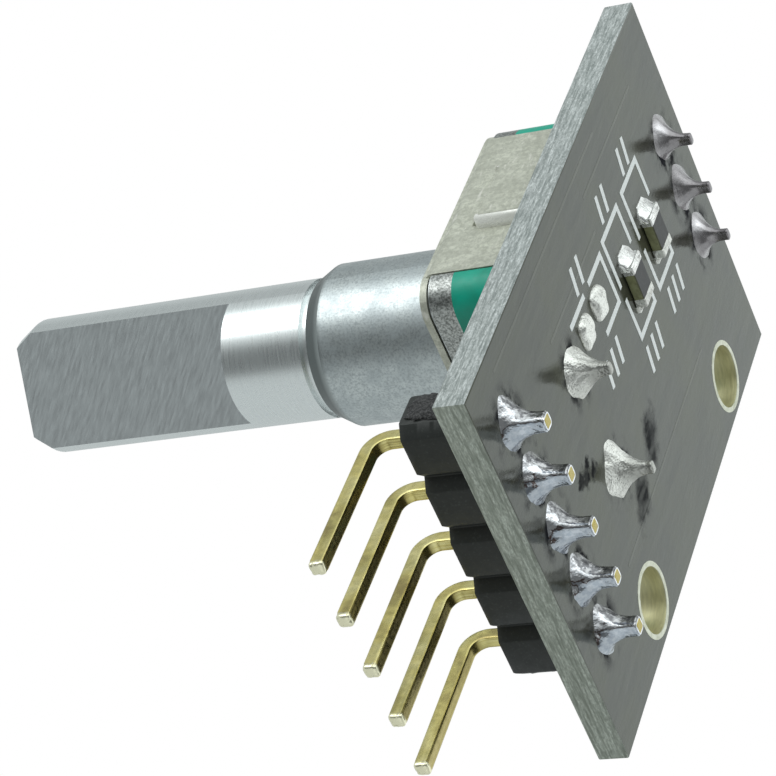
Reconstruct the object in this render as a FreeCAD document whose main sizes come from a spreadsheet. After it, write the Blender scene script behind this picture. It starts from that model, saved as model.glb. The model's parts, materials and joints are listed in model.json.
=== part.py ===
import FreeCAD, Part
import os
import re

import Sketcher

# Rotary encoder with a push switch, on its carrier board. Millimetres.
# The row frame has its origin on the shaft axis, in the top face of the frame's plate (the panel seat).
# +Z runs along the shaft towards its tip. The bent header pins point to -Y.
# Heights in the sheet and in the expressions are counted from the board's front face, which is
# board_face_z in the row frame.

DIMENSIONS = [
    ("board_face_z", -4.70, "board's front face in the row frame"),
    ("board_width", 17.75, "board along X"),
    ("board_length", 26.00, "board along Y"),
    ("board_thickness", 1.30, "board along Z"),
    ("board_right", 8.05, "shaft axis to the long edge without holes"),
    ("board_front", 15.80, "shaft axis to the header edge"),
    ("mount_hole_radius", 1.34, "mounting holes"),
    ("mount_hole_x", 7.85, "shaft axis to the row of mounting holes"),
    ("mount_hole_y", 5.00, "shaft axis to the upper mounting hole"),
    ("mount_hole_spacing", 14.00, "between the mounting holes"),
    ("pin_hole_radius", 0.50, "plated holes for pins and terminals"),
    ("pitch", 2.54, "header pitch"),
    ("header_x", 5.10, "first header pin"),
    ("header_y", 13.50, "shaft axis to the header row"),
    ("header_depth", 2.50, "header plastic along Y"),
    ("header_height", 2.50, "header plastic above the board"),
    ("header_corner", 0.45, "chamfers that make each block eight-sided"),
    ("stub_reach", 0.30, "broken-off stub on each end of the header"),
    ("stub_half_width", 0.60, "the same, half its width"),
    ("stub_height", 2.20, "the same, above the board"),
    ("pin_half", 0.27, "half the side of a square header pin"),
    ("pin_bend_z", 4.27, "axis of the bent arm"),
    ("pin_tip_y", 20.50, "shaft axis to the pin tips"),
    ("pin_inner_bend", 0.55, "inside of the bend"),
    ("pin_outer_bend", 1.09, "outside of the bend"),
    ("pin_chamfer", 0.12, "pin tip chamfer"),
    ("header_tail", 1.50, "header pins beyond the rear face"),
    ("encoder_tail", 1.25, "encoder terminals beyond the rear face"),
    ("switch_tail", 1.45, "switch terminals beyond the rear face"),
    ("body_half_width", 6.06, "encoder body along X at its corners, half"),
    ("body_half_length", 5.92, "encoder body along Y, half"),
    ("body_corner", 1.27, "corner radius of the encoder body"),
    ("wall_seat", 5.79, "body's sides where the frame's walls lie on them"),
    ("wall_seat_half_length", 4.65, "length of those recesses, half"),
    ("body_gap", 0.02, "switch base above the board"),
    ("base_floor", 0.45, "floor of the switch well"),
    ("base_top", 1.15, "top of the switch base"),
    ("well_radius", 2.60, "switch well"),
    ("housing_floor", 1.35, "floor of the rotor chamber"),
    ("housing_top", 3.26, "top of the green housing"),
    ("chamber_radius", 5.10, "rotor chamber"),
    ("guide_radius", 1.50, "plunger guide through the floor"),
    ("flange_top", 4.26, "rim of the casting's flange"),
    ("boss_radius", 4.60, "raised seat under the frame's plate"),
    ("boss_top", 4.40, "top of that seat"),
    ("recess_top", 3.55, "detent track"),
    ("counterbore_radius", 3.95, "recess for the retaining ring"),
    ("counterbore_top", 3.95, "its ceiling"),
    ("notch_depth", 0.12, "detent notches"),
    ("notch_half_width", 0.25, "detent notches, half the width"),
    ("notch_margin", 0.15, "detent notches to the track's edges"),
    ("detents", 20, "clicks in one turn"),
    ("bushing_radius", 3.475, "plain bushing"),
    ("bushing_root", 3.50, "the same at the boss, inside the plate's hole"),
    ("bushing_top", 12.55, "end of the bushing"),
    ("bushing_shoulder", 11.70, "start of the bushing's end chamfer"),
    ("bushing_chamfer", 0.45, "radial size of that chamfer"),
    ("bore_radius", 3.00, "bore of the bushing"),
    ("mouth_radius", 3.12, "bore at its mouth"),
    ("mouth_depth", 0.30, "depth of the mouth"),
    ("frame_half_width", 6.10, "outside of the frame's side walls"),
    ("frame_half_length", 5.85, "frame's plate, half its length"),
    ("frame_bend", 0.50, "outside radius of the frame's folds"),
    ("frame_top", 4.70, "top of the frame's plate"),
    ("sheet_thickness", 0.30, "frame sheet"),
    ("wall_half_length", 4.60, "side wall along Y, half"),
    ("wall_foot", 0.05, "side walls above the board"),
    ("lug_half_width", 1.65, "raised lug along Y, half"),
    ("lug_reach", 0.50, "raised lug beyond the wall"),
    ("lug_top", 2.90, "top of the raised part"),
    ("lug_slope", 0.45, "height of its sloping shoulder"),
    ("plate_hole_radius", 3.53, "plate's hole round the bushing"),
    ("plate_half_width", 5.95, "frame's plate beyond the folds, half"),
    ("shaft_radius", 3.00, "shaft outside the bushing"),
    ("journal_radius", 2.97, "shaft inside the bushing"),
    ("relief_bottom", 12.25, "end of the journal, where a relief groove starts"),
    ("relief_radius", 2.82, "relief groove at the bushing's mouth"),
    ("shaft_shoulder", 12.85, "end of the relief groove"),
    ("shaft_top", 27.65, "shaft tip"),
    ("tip_chamfer", 0.50, "radial size of the tip chamfer"),
    ("tip_chamfer_length", 0.85, "axial size of the tip chamfer"),
    ("flat_start", 16.60, "start of the D flat"),
    ("flat_distance", 1.50, "shaft axis to the D flat"),
    ("flat_azimuth", -60.0, "direction in which the flat faces"),
    ("stem_radius", 2.00, "drive stem"),
    ("stem_half", 1.50, "flats of the drive stem"),
    ("stem_bottom", 1.88, "lower end of the stem"),
    ("collar_bottom", 3.55, "collar under the ring groove"),
    ("ring_bottom", 3.70, "retaining ring"),
    ("ring_top", 3.90, "retaining ring"),
    ("ring_inner", 2.60, "retaining ring"),
    ("ring_outer", 3.70, "retaining ring"),
    ("ring_gap_half", 0.90, "half the mouth of the retaining ring"),
    ("rotor_radius", 4.90, "rotor disc"),
    ("rotor_bottom", 1.85, "rotor disc"),
    ("rotor_top", 3.00, "rotor disc"),
    ("hub_radius", 2.60, "rotor hub"),
    ("hub_bottom", 1.50, "rotor hub"),
    ("drive_clearance", 0.05, "stem in the rotor"),
    ("code_bottom", 1.72, "code disc"),
    ("code_inner", 2.70, "code disc"),
    ("code_outer", 4.80, "code disc"),
    ("code_window_inner", 3.60, "windows of the code disc"),
    ("code_window_outer", 4.60, "windows of the code disc"),
    ("code_window_half", 0.30, "windows, half the width"),
    ("spring_inner", 4.15, "detent spring"),
    ("spring_top", 3.12, "detent spring"),
    ("nib_top", 3.48, "detent spring's nibs"),
    ("nib_inner", 4.35, "detent spring's nibs"),
    ("nib_outer", 4.80, "detent spring's nibs"),
    ("nib_half_width", 0.20, "detent spring's nibs, half"),
    ("terminal_half", 0.40, "strips of the terminals, half the width"),
    ("leg_half", 0.21, "legs of the terminals, half the width"),
    ("terminal_thickness", 0.25, "terminals"),
    ("encoder_pitch", 2.50, "encoder terminals"),
    ("encoder_row_y", 7.85, "encoder terminals from the shaft axis"),
    ("outer_wiper_y", 2.20, "tip of an outer wiper"),
    ("middle_wiper_y", 3.00, "tip of the middle wiper"),
    ("wiper_top", 1.69, "raised nib of a wiper"),
    ("wiper_nib", 0.50, "length of that nib"),
    ("switch_row_y", 7.30, "switch terminals from the shaft axis"),
    ("switch_offset_x", 2.50, "switch terminals from the shaft axis"),
    ("strip_turn_y", 4.20, "where a switch strip turns inwards"),
    ("contact_half", 0.50, "fixed contact, half its length"),
    ("dome_radius", 2.35, "snap dome"),
    ("dome_crown", 0.80, "flat crown of the dome"),
    ("dome_apex", 0.98, "top of the dome"),
    ("dome_thickness", 0.06, "snap dome"),
    ("dome_window_half", 0.70, "opening in the dome's rim, half"),
    ("dome_window_inner", 1.60, "inner end of that opening"),
    ("plunger_radius", 1.40, "plunger"),
    ("plunger_flange", 2.00, "flange that keeps the plunger in"),
    ("plunger_bottom", 1.00, "underside of the plunger's flange"),
    ("plunger_flange_top", 1.12, "top of that flange"),
    ("plunger_top", 1.85, "top of the plunger"),
    ("header_solder_radius", 1.15, "header joint at the board"),
    ("header_solder_height", 1.10, "header joint beyond the board"),
    ("encoder_solder_radius", 1.10, "encoder joint at the board"),
    ("encoder_solder_height", 1.15, "encoder joint beyond the board"),
    ("switch_solder_radius", 1.20, "switch joint at the board"),
    ("switch_solder_height", 1.30, "switch joint beyond the board"),
    ("solder_neck", 0.48, "top of a solder joint"),
    ("chip_length", 2.00, "chip resistor"),
    ("chip_width", 1.25, "chip resistor"),
    ("chip_height", 0.50, "chip resistor"),
    ("cap_length", 0.40, "end caps of the chip"),
    ("cap_skin", 0.03, "thickness of the caps on the chip's sides"),
    ("chip_x", 1.15, "centre of the chips"),
    ("chip_2_y", 0.22, "first fitted chip"),
    ("chip_3_y", 3.50, "second fitted chip"),
    ("chip_solder_length", 0.40, "solder beyond each cap"),
    ("chip_solder_height", 0.32, "solder at each cap"),
    ("empty_x", 2.80, "centre of the empty place"),
    ("empty_y", 4.30, "centre of the empty place"),
    ("empty_pitch", 1.80, "between its two pads"),
    ("empty_pad", 1.20, "side of a pad"),
    ("empty_height", 0.30, "solder on an empty pad"),
]

HEADER_PINS = 5
WORD = re.compile(r"[a-z]\w*")

doc = FreeCAD.newDocument("rotary_encoder")
sheet = doc.addObject("Spreadsheet::Sheet", "Sheet")
for row, (alias, number, note) in enumerate(DIMENSIONS, start=1):
    sheet.set("A%d" % row, note)
    sheet.set("B%d" % row, str(number))
    sheet.setAlias("B%d" % row, alias)
doc.recompute()


# ---- helpers -------------------------------------------------------------------------------------


def cells(expression):
    """The expression with every dimension's name pointing at its cell."""
    return WORD.sub(lambda found: "Sheet." + found.group(), expression)


def value(expression):
    return float(sheet.evalExpression(cells(expression)))


def bind(item, prop, expression):
    item.setExpression(prop, cells(expression))


def body(label):
    """An empty body whose own zero height is the board's front face."""
    item = doc.addObject("PartDesign::Body", label)
    item.Label = label
    bind(item, "Placement.Base.z", "board_face_z")
    return item


def sketch(owner, name, role="XY_Plane", height="0", turn=None):
    item = owner.newObject("Sketcher::SketchObject", name)
    plane = [feature for feature in owner.Origin.OriginFeatures if feature.Role == role][0]
    item.AttachmentSupport = [(plane, "")]
    item.MapMode = "FlatFace"
    if height != "0":
        bind(item, "AttachmentOffset.Base.z", height)
    if turn:
        item.AttachmentOffset = FreeCAD.Placement(
            item.AttachmentOffset.Base, FreeCAD.Rotation(FreeCAD.Vector(0, 0, 1), value(turn))
        )
        bind(item, "AttachmentOffset.Rotation.Angle", turn)
    return item


def locate(item, curve, point, x, y):
    """Ties one point of a sketch to its two distances from the sketch's origin."""
    for kind, axis, expression in (("DistanceX", -2, x), ("DistanceY", -1, y)):
        if expression == "0":
            item.addConstraint(Sketcher.Constraint("PointOnObject", curve, point, axis))
        else:
            rule = Sketcher.Constraint(kind, -1, 1, curve, point, value(expression))
            index = item.addConstraint(rule)
            bind(item, "Constraints[%d]" % index, expression)


def polygon(item, corners):
    first = item.GeometryCount
    points = [FreeCAD.Vector(value(x), value(y), 0) for x, y in corners]
    for start, end in zip(points, points[1:] + points[:1]):
        item.addGeometry(Part.LineSegment(start, end), False)
    for index, (x, y) in enumerate(corners):
        following = first + (index + 1) % len(corners)
        item.addConstraint(Sketcher.Constraint("Coincident", first + index, 2, following, 1))
        locate(item, first + index, 1, x, y)


def rectangle(item, x_low, x_high, y_low, y_high):
    polygon(item, [(x_low, y_low), (x_high, y_low), (x_high, y_high), (x_low, y_high)])


def circle(item, x, y, radius):
    centre = FreeCAD.Vector(value(x), value(y), 0)
    shape = Part.Circle(centre, FreeCAD.Vector(0, 0, 1), value(radius))
    index = item.addGeometry(shape, False)
    locate(item, index, 3, x, y)
    rule = item.addConstraint(Sketcher.Constraint("Radius", index, value(radius)))
    bind(item, "Constraints[%d]" % rule, radius)


def feature(owner, kind, name, profile):
    item = owner.newObject("PartDesign::" + kind, name)
    item.Profile = profile
    return item


def pad(owner, name, profile, length, symmetric=False, down=False):
    item = feature(owner, "Pad", name, profile)
    bind(item, "Length", length)
    item.SideType = "Symmetric" if symmetric else "One side"
    item.Reversed = down
    return item


def pocket(owner, name, profile, length, up=False):
    """Cuts downwards from the sketch, or upwards, and stops the run if nothing was cut."""
    doc.recompute()
    before = owner.Shape.Volume
    item = feature(owner, "Pocket", name, profile)
    bind(item, "Length", length)
    item.Reversed = up
    doc.recompute()
    if owner.Shape.Volume >= before:
        raise RuntimeError(name + " cut nothing")
    return item


def turned(owner, kind, name, corners):
    """A Revolution or Groove about the shaft axis, from (radius, height) corners."""
    profile = sketch(owner, name + "_section", "XZ_Plane")
    polygon(profile, corners)
    item = feature(owner, kind, name, profile)
    item.ReferenceAxis = (profile, ["V_Axis"])
    item.Angle = 360
    return item


def round_edges(owner, name, kind, size, wanted):
    """Fillets or chamfers every edge of the body's present shape that wanted() picks."""
    doc.recompute()
    base = owner.Tip
    names = ["Edge%d" % (i + 1) for i, edge in enumerate(base.Shape.Edges) if wanted(edge)]
    if not names:
        raise RuntimeError(name + " found no edge")
    item = owner.newObject("PartDesign::" + kind, name)
    item.Base = (base, names)
    bind(item, "Radius" if kind == "Fillet" else "Size", size)
    return item


def is_upright(edge):
    low, high = edge.BoundBox.ZMin, edge.BoundBox.ZMax
    return high - low > edge.Length - 1e-6


def around(owner, name, original, count):
    """Repeats a feature round the shaft axis."""
    item = owner.newObject("PartDesign::PolarPattern", name)
    item.Originals = [original]
    axis = [feature for feature in owner.Origin.OriginFeatures if feature.Role == "Z_Axis"][0]
    item.Axis = (axis, [""])
    item.Angle = 360
    bind(item, "Occurrences", count)
    owner.Tip = item
    return item


def box(name, x_span, y_span, z_span):
    """A block between two heights above the board's front face."""
    item = doc.addObject("Part::Box", name)
    spans = zip(("Length", "Width", "Height"), "xyz", (x_span, y_span, z_span))
    for size, axis, (low, high) in spans:
        bind(item, size, "(%s) - (%s)" % (high, low))
        start = low if axis != "z" else "board_face_z + (%s)" % low
        bind(item, "Placement.Base." + axis, start)
    return item


def fuse(label, members):
    item = doc.addObject("Part::MultiFuse", label)
    item.Label = label
    item.Shapes = members
    return item


def cut(label, base, tool):
    item = doc.addObject("Part::Cut", label)
    item.Label = label
    item.Base = base
    item.Tool = tool
    return item


def square_block(label, low, high):
    """A slice of the encoder's square body: rounded corners, and a flat seat for each wall of the frame."""
    item = body(label)
    outline = sketch(item, label + "_outline", height=low)
    rectangle(
        outline, "-body_half_width", "body_half_width", "-body_half_length", "body_half_length"
    )
    pad(item, label + "_block", outline, "%s - %s" % (high, low))
    round_edges(item, label + "_corners", "Fillet", "body_corner", is_upright)
    seats = sketch(item, label + "_seats", height=high)
    for near, far in (("-2 * wall_seat", "-wall_seat"), ("wall_seat", "2 * wall_seat")):
        rectangle(seats, near, far, "-wall_seat_half_length", "wall_seat_half_length")
    pocket(item, label + "_wall_seats", seats, "%s - %s" % (high, low))
    return item


# ---- carrier board -------------------------------------------------------------------------------


def header_place(index):
    return "header_x - %d * pitch" % index


def circuit_board():
    item = body("circuit_board")
    outline = sketch(item, "board_outline")
    rectangle(
        outline, "board_right - board_width", "board_right", "-board_front", "board_length - board_front"
    )
    pad(item, "board_slab", outline, "board_thickness", down=True)
    holes = sketch(item, "board_holes")
    circle(holes, "-mount_hole_x", "mount_hole_y", "mount_hole_radius")
    circle(holes, "-mount_hole_x", "mount_hole_y - mount_hole_spacing", "mount_hole_radius")
    for index in range(HEADER_PINS):
        circle(holes, header_place(index), "-header_y", "pin_hole_radius")
    for side in ("-encoder_pitch", "0", "encoder_pitch"):
        circle(holes, side, "encoder_row_y", "pin_hole_radius")
    for side in ("-switch_offset_x", "switch_offset_x"):
        circle(holes, side, "-switch_row_y", "pin_hole_radius")
    pocket(item, "board_drilling", holes, "board_thickness")
    return item


# ---- header --------------------------------------------------------------------------------------


def header_pin(index):
    """A square pin: straight through the board and the plastic, then bent towards -Y."""
    label = "header_pin_%d" % (index + 1)
    item = body(label)
    side = sketch(item, label + "_side", "YZ_Plane")
    bottom = "-board_thickness - header_tail"
    polygon(
        side,
        [
            ("-header_y + pin_half", bottom),
            ("-header_y + pin_half", "pin_bend_z + pin_half"),
            ("-pin_tip_y", "pin_bend_z + pin_half"),
            ("-pin_tip_y", "pin_bend_z - pin_half"),
            ("-header_y - pin_half", "pin_bend_z - pin_half"),
            ("-header_y - pin_half", bottom),
        ],
    )
    pad(item, label + "_bar", side, "2 * pin_half", symmetric=True)
    bends = (("outer", "+ pin_half"), ("inner", "- pin_half"))
    for name, offset in bends:
        at_y = value("-header_y " + offset)
        at_z = value("pin_bend_z " + offset)

        def on_corner(edge, at_y=at_y, at_z=at_z):
            centre = edge.CenterOfMass
            return abs(centre.y - at_y) < 1e-6 and abs(centre.z - at_z) < 1e-6

        round_edges(item, "%s_%s" % (label, name), "Fillet", "pin_%s_bend" % name, on_corner)
    low = value(bottom)
    end = value("-pin_tip_y")

    def on_tip(edge):
        return edge.BoundBox.ZMax < low + 1e-6 or edge.BoundBox.YMax < end + 1e-6

    round_edges(item, label + "_tips", "Chamfer", "pin_chamfer", on_tip)
    bind(item, "Placement.Base.x", header_place(index))
    return item


def header_body(pins):
    """Five eight-sided blocks in one strip, with a broken-off stub on each end."""
    item = body("header_strip")
    near = "-header_y - header_depth / 2"
    far = "-header_y + header_depth / 2"
    front, back = [], []
    for index in range(HEADER_PINS):
        centre = header_place(index)
        for end in ("+ pitch / 2 - header_corner", "- pitch / 2 + header_corner"):
            front.append(("%s %s" % (centre, end), near))
            back.append(("%s %s" % (centre, end), far))
        if index < HEADER_PINS - 1:
            front.append((centre + " - pitch / 2", near + " + header_corner"))
            back.append((centre + " - pitch / 2", far + " - header_corner"))
    first_end = header_place(0) + " + pitch / 2"
    last_end = header_place(HEADER_PINS - 1) + " - pitch / 2"
    far_end = [(last_end, near + " + header_corner"), (last_end, far + " - header_corner")]
    near_end = [(first_end, far + " - header_corner"), (first_end, near + " + header_corner")]
    outline = sketch(item, "header_outline")
    polygon(outline, front + far_end + back[::-1] + near_end)
    pad(item, "header_block", outline, "header_height")
    stubs = sketch(item, "stub_outline")
    rectangle(
        stubs,
        last_end + " - stub_reach",
        first_end + " + stub_reach",
        "-header_y - stub_half_width",
        "-header_y + stub_half_width",
    )
    pad(item, "stubs", stubs, "stub_height")
    return cut("header_body", item, fuse("header_pins_together", pins))


# ---- solder --------------------------------------------------------------------------------------


def solder_joint(label, x, y, kind, metal):
    """Solder that fills the plated hole and rises in a hollow cone round the metal."""
    item = body(label + "_cone")
    rear = "-board_thickness"
    radius = kind + "_solder_radius"
    height = kind + "_solder_height"
    turned(
        item,
        "Revolution",
        label + "_turned",
        [
            ("0", "0"),
            ("pin_hole_radius", "0"),
            ("pin_hole_radius", rear),
            (radius, rear),
            ("solder_neck + 0.35 * (%s - solder_neck)" % radius, "%s - 0.32 * %s" % (rear, height)),
            ("solder_neck + 0.08 * (%s - solder_neck)" % radius, "%s - 0.70 * %s" % (rear, height)),
            ("solder_neck", "%s - %s" % (rear, height)),
            ("0", "%s - %s" % (rear, height)),
        ],
    )
    if x != "0":
        bind(item, "Placement.Base.x", x)
    bind(item, "Placement.Base.y", y)
    return cut(label, item, metal)


# ---- chip resistors on the rear face -------------------------------------------------------------


def chip(number, x, y):
    """A chip resistor: ceramic body, two end caps and the solder at each end."""
    rear = "-board_thickness"
    low = rear + " - chip_height"
    half_width = "chip_width / 2"
    core = box(
        "resistor_%s_body" % number,
        (x + " - chip_length / 2 + cap_skin", x + " + chip_length / 2 - cap_skin"),
        (y + " - %s + cap_skin" % half_width, y + " + %s - cap_skin" % half_width),
        (low + " + cap_skin", rear + " - cap_skin"),
    )
    core.Label = "resistor_%s_body" % number
    caps, ends = [], []
    for name, sign, other in (("left", "-", "+"), ("right", "+", "-")):
        outer = "%s %s chip_length / 2" % (x, sign)
        inner = "%s %s cap_length" % (outer, other)
        beyond = "%s %s chip_solder_length" % (outer, sign)
        across = (y + " - " + half_width, y + " + " + half_width)
        span = (outer, inner) if sign == "-" else (inner, outer)
        caps.append(box("cap_%s_%s" % (name, number), span, across, (low, rear)))
        reach = (beyond, outer) if sign == "-" else (outer, beyond)
        ends.append(box("fillet_%s_%s" % (name, number), reach, across, (rear + " - chip_solder_height", rear)))
    shells = cut("resistor_%s_caps" % number, fuse("caps_%s_solid" % number, caps), core)
    return [core, shells, fuse("resistor_%s_solder" % number, ends)]


def empty_pad_solder():
    """Solder on the two pads of the place that has no resistor."""
    pads = []
    for name, sign in (("upper", "+"), ("lower", "-")):
        middle = "-empty_y %s empty_pitch / 2" % sign
        pads.append(
            box(
                "empty_pad_" + name,
                ("empty_x - empty_pad / 2", "empty_x + empty_pad / 2"),
                (middle + " - empty_pad / 2", middle + " + empty_pad / 2"),
                ("-board_thickness - empty_height", "-board_thickness"),
            )
        )
    return fuse("empty_pad_solder", pads)


# ---- terminals -----------------------------------------------------------------------------------


def terminal_leg(name, x, y, tail, top):
    """The leg of a stamped terminal, from its strip down through the board."""
    return box(
        name,
        (x + " - leg_half", x + " + leg_half"),
        (y + " - terminal_thickness / 2", y + " + terminal_thickness / 2"),
        ("-board_thickness - " + tail, top),
    )


def encoder_terminal(suffix, x, tip):
    """A leg outside the body and a wiper on the rotor chamber's floor, with a raised nib at its tip."""
    label = "encoder_terminal_" + suffix
    across = (x + " - terminal_half", x + " + terminal_half")
    strip_top = "housing_floor + terminal_thickness"
    leg = terminal_leg(label + "_leg", x, "encoder_row_y", "encoder_tail", strip_top)
    strip = box(
        label + "_strip", across, (tip, "encoder_row_y - terminal_thickness / 2"), ("housing_floor", strip_top)
    )
    nib = box(label + "_nib", across, (tip, tip + " + wiper_nib"), (strip_top, "wiper_top"))
    return fuse(label, [leg, strip, nib])


def switch_terminal(number, x, strips):
    label = "switch_terminal_%d" % number
    span = ("base_floor - terminal_thickness", "base_floor")
    leg = terminal_leg(label + "_leg", x, "-switch_row_y", "switch_tail", "base_floor")
    members = [leg]
    for index, (x_span, y_span) in enumerate(strips):
        members.append(box("%s_strip_%d" % (label, index), x_span, y_span, span))
    return fuse(label, members)


def switch_terminals():
    left = ("-switch_offset_x - terminal_half", "-switch_offset_x + terminal_half")
    right = ("switch_offset_x - terminal_half", "switch_offset_x + terminal_half")
    middle = ("-terminal_half", "terminal_half")
    outside = "-switch_row_y + terminal_thickness / 2"
    turn = ("-strip_turn_y - terminal_half", "-strip_turn_y + terminal_half")
    centre = switch_terminal(
        1,
        "-switch_offset_x",
        [
            (left, (outside, turn[1])),
            ((left[1], middle[1]), turn),
            (middle, (turn[1], "contact_half")),
        ],
    )
    rim = switch_terminal(2, "switch_offset_x", [(right, (outside, "contact_half"))])
    return [centre, rim]


# ---- encoder body --------------------------------------------------------------------------------


def switch_base(terminals):
    item = square_block("switch_base_block", "body_gap", "base_top")
    well = sketch(item, "switch_well_outline", height="base_top")
    circle(well, "0", "0", "well_radius")
    pocket(item, "switch_well", well, "base_top - base_floor")
    return cut("switch_base", item, fuse("switch_terminals_together", terminals))


def encoder_housing(terminals):
    item = square_block("encoder_housing_block", "base_top", "housing_top")
    chamber = sketch(item, "chamber_outline", height="housing_top")
    circle(chamber, "0", "0", "chamber_radius")
    pocket(item, "chamber", chamber, "housing_top - housing_floor")
    guide = sketch(item, "guide_outline", height="housing_floor")
    circle(guide, "0", "0", "guide_radius")
    pocket(item, "guide", guide, "housing_floor - base_top")
    return cut("encoder_housing", item, fuse("encoder_terminals_together", terminals))


def bushing_housing():
    """The casting: square flange with the detent track under it, and the plain bushing."""
    item = square_block("bushing_housing", "housing_top", "flange_top")
    turned(
        item,
        "Revolution",
        "bushing",
        [
            ("0", "counterbore_top"),
            ("boss_radius", "counterbore_top"),
            ("boss_radius", "boss_top"),
            ("bushing_root", "boss_top"),
            ("bushing_radius", "frame_top"),
            ("bushing_radius", "bushing_shoulder"),
            ("bushing_radius - bushing_chamfer", "bushing_top"),
            ("0", "bushing_top"),
        ],
    )
    turned(
        item,
        "Groove",
        "bore",
        [
            ("0", "housing_top"),
            ("chamber_radius", "housing_top"),
            ("chamber_radius", "recess_top"),
            ("counterbore_radius", "recess_top"),
            ("counterbore_radius", "counterbore_top"),
            ("bore_radius", "counterbore_top"),
            ("bore_radius", "bushing_top - mouth_depth"),
            ("mouth_radius", "bushing_top"),
            ("0", "bushing_top"),
        ],
    )
    doc.recompute()
    notch = sketch(item, "notch_outline", height="recess_top")
    rectangle(
        notch,
        "counterbore_radius + notch_margin",
        "chamber_radius - notch_margin",
        "-notch_half_width",
        "notch_half_width",
    )
    first = pocket(item, "notch", notch, "notch_depth", up=True)
    around(item, "detent_notches", first, "detents")
    return item


def frame():
    """One folded sheet: a square plate round the bushing and two side walls, each with a raised lug."""
    item = body("frame")
    outer, inner = "frame_half_width", "frame_half_width - sheet_thickness"
    under = "frame_top - sheet_thickness"
    fold = sketch(item, "fold_section", "XZ_Plane")
    polygon(
        fold,
        [
            ("-(%s)" % outer, "wall_foot"),
            ("-(%s)" % outer, "frame_top"),
            (outer, "frame_top"),
            (outer, "wall_foot"),
            (inner, "wall_foot"),
            (inner, under),
            ("-(%s)" % inner, under),
            ("-(%s)" % inner, "wall_foot"),
        ],
    )
    pad(item, "fold", fold, "2 * wall_half_length", symmetric=True)
    edge_x, edge_z = value("frame_half_width"), value("frame_top")

    def on_fold(edge):
        centre = edge.CenterOfMass
        return abs(abs(centre.x) - edge_x) < 1e-6 and abs(centre.z - edge_z) < 1e-6

    round_edges(item, "fold_rounding", "Fillet", "frame_bend", on_fold)
    plate = sketch(item, "plate_outline", height=under)
    rectangle(plate, "-plate_half_width", "plate_half_width", "-frame_half_length", "frame_half_length")
    pad(item, "plate", plate, "sheet_thickness")
    corner_y = value("frame_half_length")

    def on_corner(edge):
        centre = edge.CenterOfMass
        return is_upright(edge) and abs(abs(centre.y) - corner_y) < 1e-6

    round_edges(item, "plate_corners", "Fillet", "frame_half_length - wall_half_length", on_corner)
    hole = sketch(item, "plate_hole_outline", height="frame_top")
    circle(hole, "0", "0", "plate_hole_radius")
    pocket(item, "plate_hole", hole, "sheet_thickness")
    for side, sign in (("right", ""), ("left", "-")):
        raised = [
            (outer, "lug_top + lug_slope"),
            (outer + " + lug_reach", "lug_top"),
            (outer + " + lug_reach", "wall_foot"),
            (outer, "wall_foot"),
        ]
        hollow = [
            (inner, "wall_foot"),
            (inner + " + lug_reach", "wall_foot"),
            (inner + " + lug_reach", "lug_top - sheet_thickness"),
            (inner, "lug_top - sheet_thickness"),
        ]
        outside = sketch(item, side + "_lug_section", "XZ_Plane")
        polygon(outside, [("%s(%s)" % (sign, x), z) for x, z in raised])
        pad(item, side + "_lug", outside, "2 * lug_half_width", symmetric=True)
        inside = sketch(item, side + "_lug_hollow_section", "XZ_Plane")
        polygon(inside, [("%s(%s)" % (sign, x), z) for x, z in hollow])
        behind = pocket(item, side + "_lug_hollow", inside, "2 * (lug_half_width - sheet_thickness)")
        behind.SideType = "Symmetric"
    return item


# ---- what turns and what slides ------------------------------------------------------------------


def shaft():
    """One turned bar. Its round stretch and its D stretch stay two faces, so no feature merges them."""
    item = body("shaft")
    bar = turned(
        item,
        "Revolution",
        "shaft_bar",
        [
            ("0", "stem_bottom"),
            ("stem_radius", "stem_bottom"),
            ("stem_radius", "collar_bottom"),
            ("journal_radius", "collar_bottom"),
            ("journal_radius", "ring_bottom"),
            ("ring_inner", "ring_bottom"),
            ("ring_inner", "ring_top"),
            ("journal_radius", "ring_top"),
            ("journal_radius", "relief_bottom"),
            ("relief_radius", "relief_bottom"),
            ("relief_radius", "shaft_shoulder"),
            ("shaft_radius", "shaft_shoulder"),
            ("shaft_radius", "flat_start"),
            ("shaft_radius", "shaft_top - tip_chamfer_length"),
            ("shaft_radius - tip_chamfer", "shaft_top"),
            ("0", "shaft_top"),
        ],
    )
    bar.Refine = False
    outline = sketch(item, "flat_outline", height="shaft_top", turn="flat_azimuth")
    rectangle(outline, "flat_distance", "2 * shaft_radius", "-2 * shaft_radius", "2 * shaft_radius")
    flat = pocket(item, "flat", outline, "shaft_top - flat_start")
    flat.Refine = False
    sides = sketch(item, "stem_sides", height="collar_bottom")
    for low, high in (("-2 * stem_radius", "-stem_half"), ("stem_half", "2 * stem_radius")):
        rectangle(sides, "-2 * stem_radius", "2 * stem_radius", low, high)
    flats = pocket(item, "stem_flats", sides, "collar_bottom - stem_bottom")
    flats.Refine = False
    return item


def retaining_ring():
    ring = body("retaining_ring_whole")
    turned(
        ring,
        "Revolution",
        "ring_turned",
        [
            ("ring_inner", "ring_bottom"),
            ("ring_outer", "ring_bottom"),
            ("ring_outer", "ring_top"),
            ("ring_inner", "ring_top"),
        ],
    )
    mouth = box(
        "ring_mouth", ("0", "2 * ring_outer"), ("-ring_gap_half", "ring_gap_half"), ("ring_bottom", "ring_top")
    )
    return cut("retaining_ring", ring, mouth)


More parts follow.
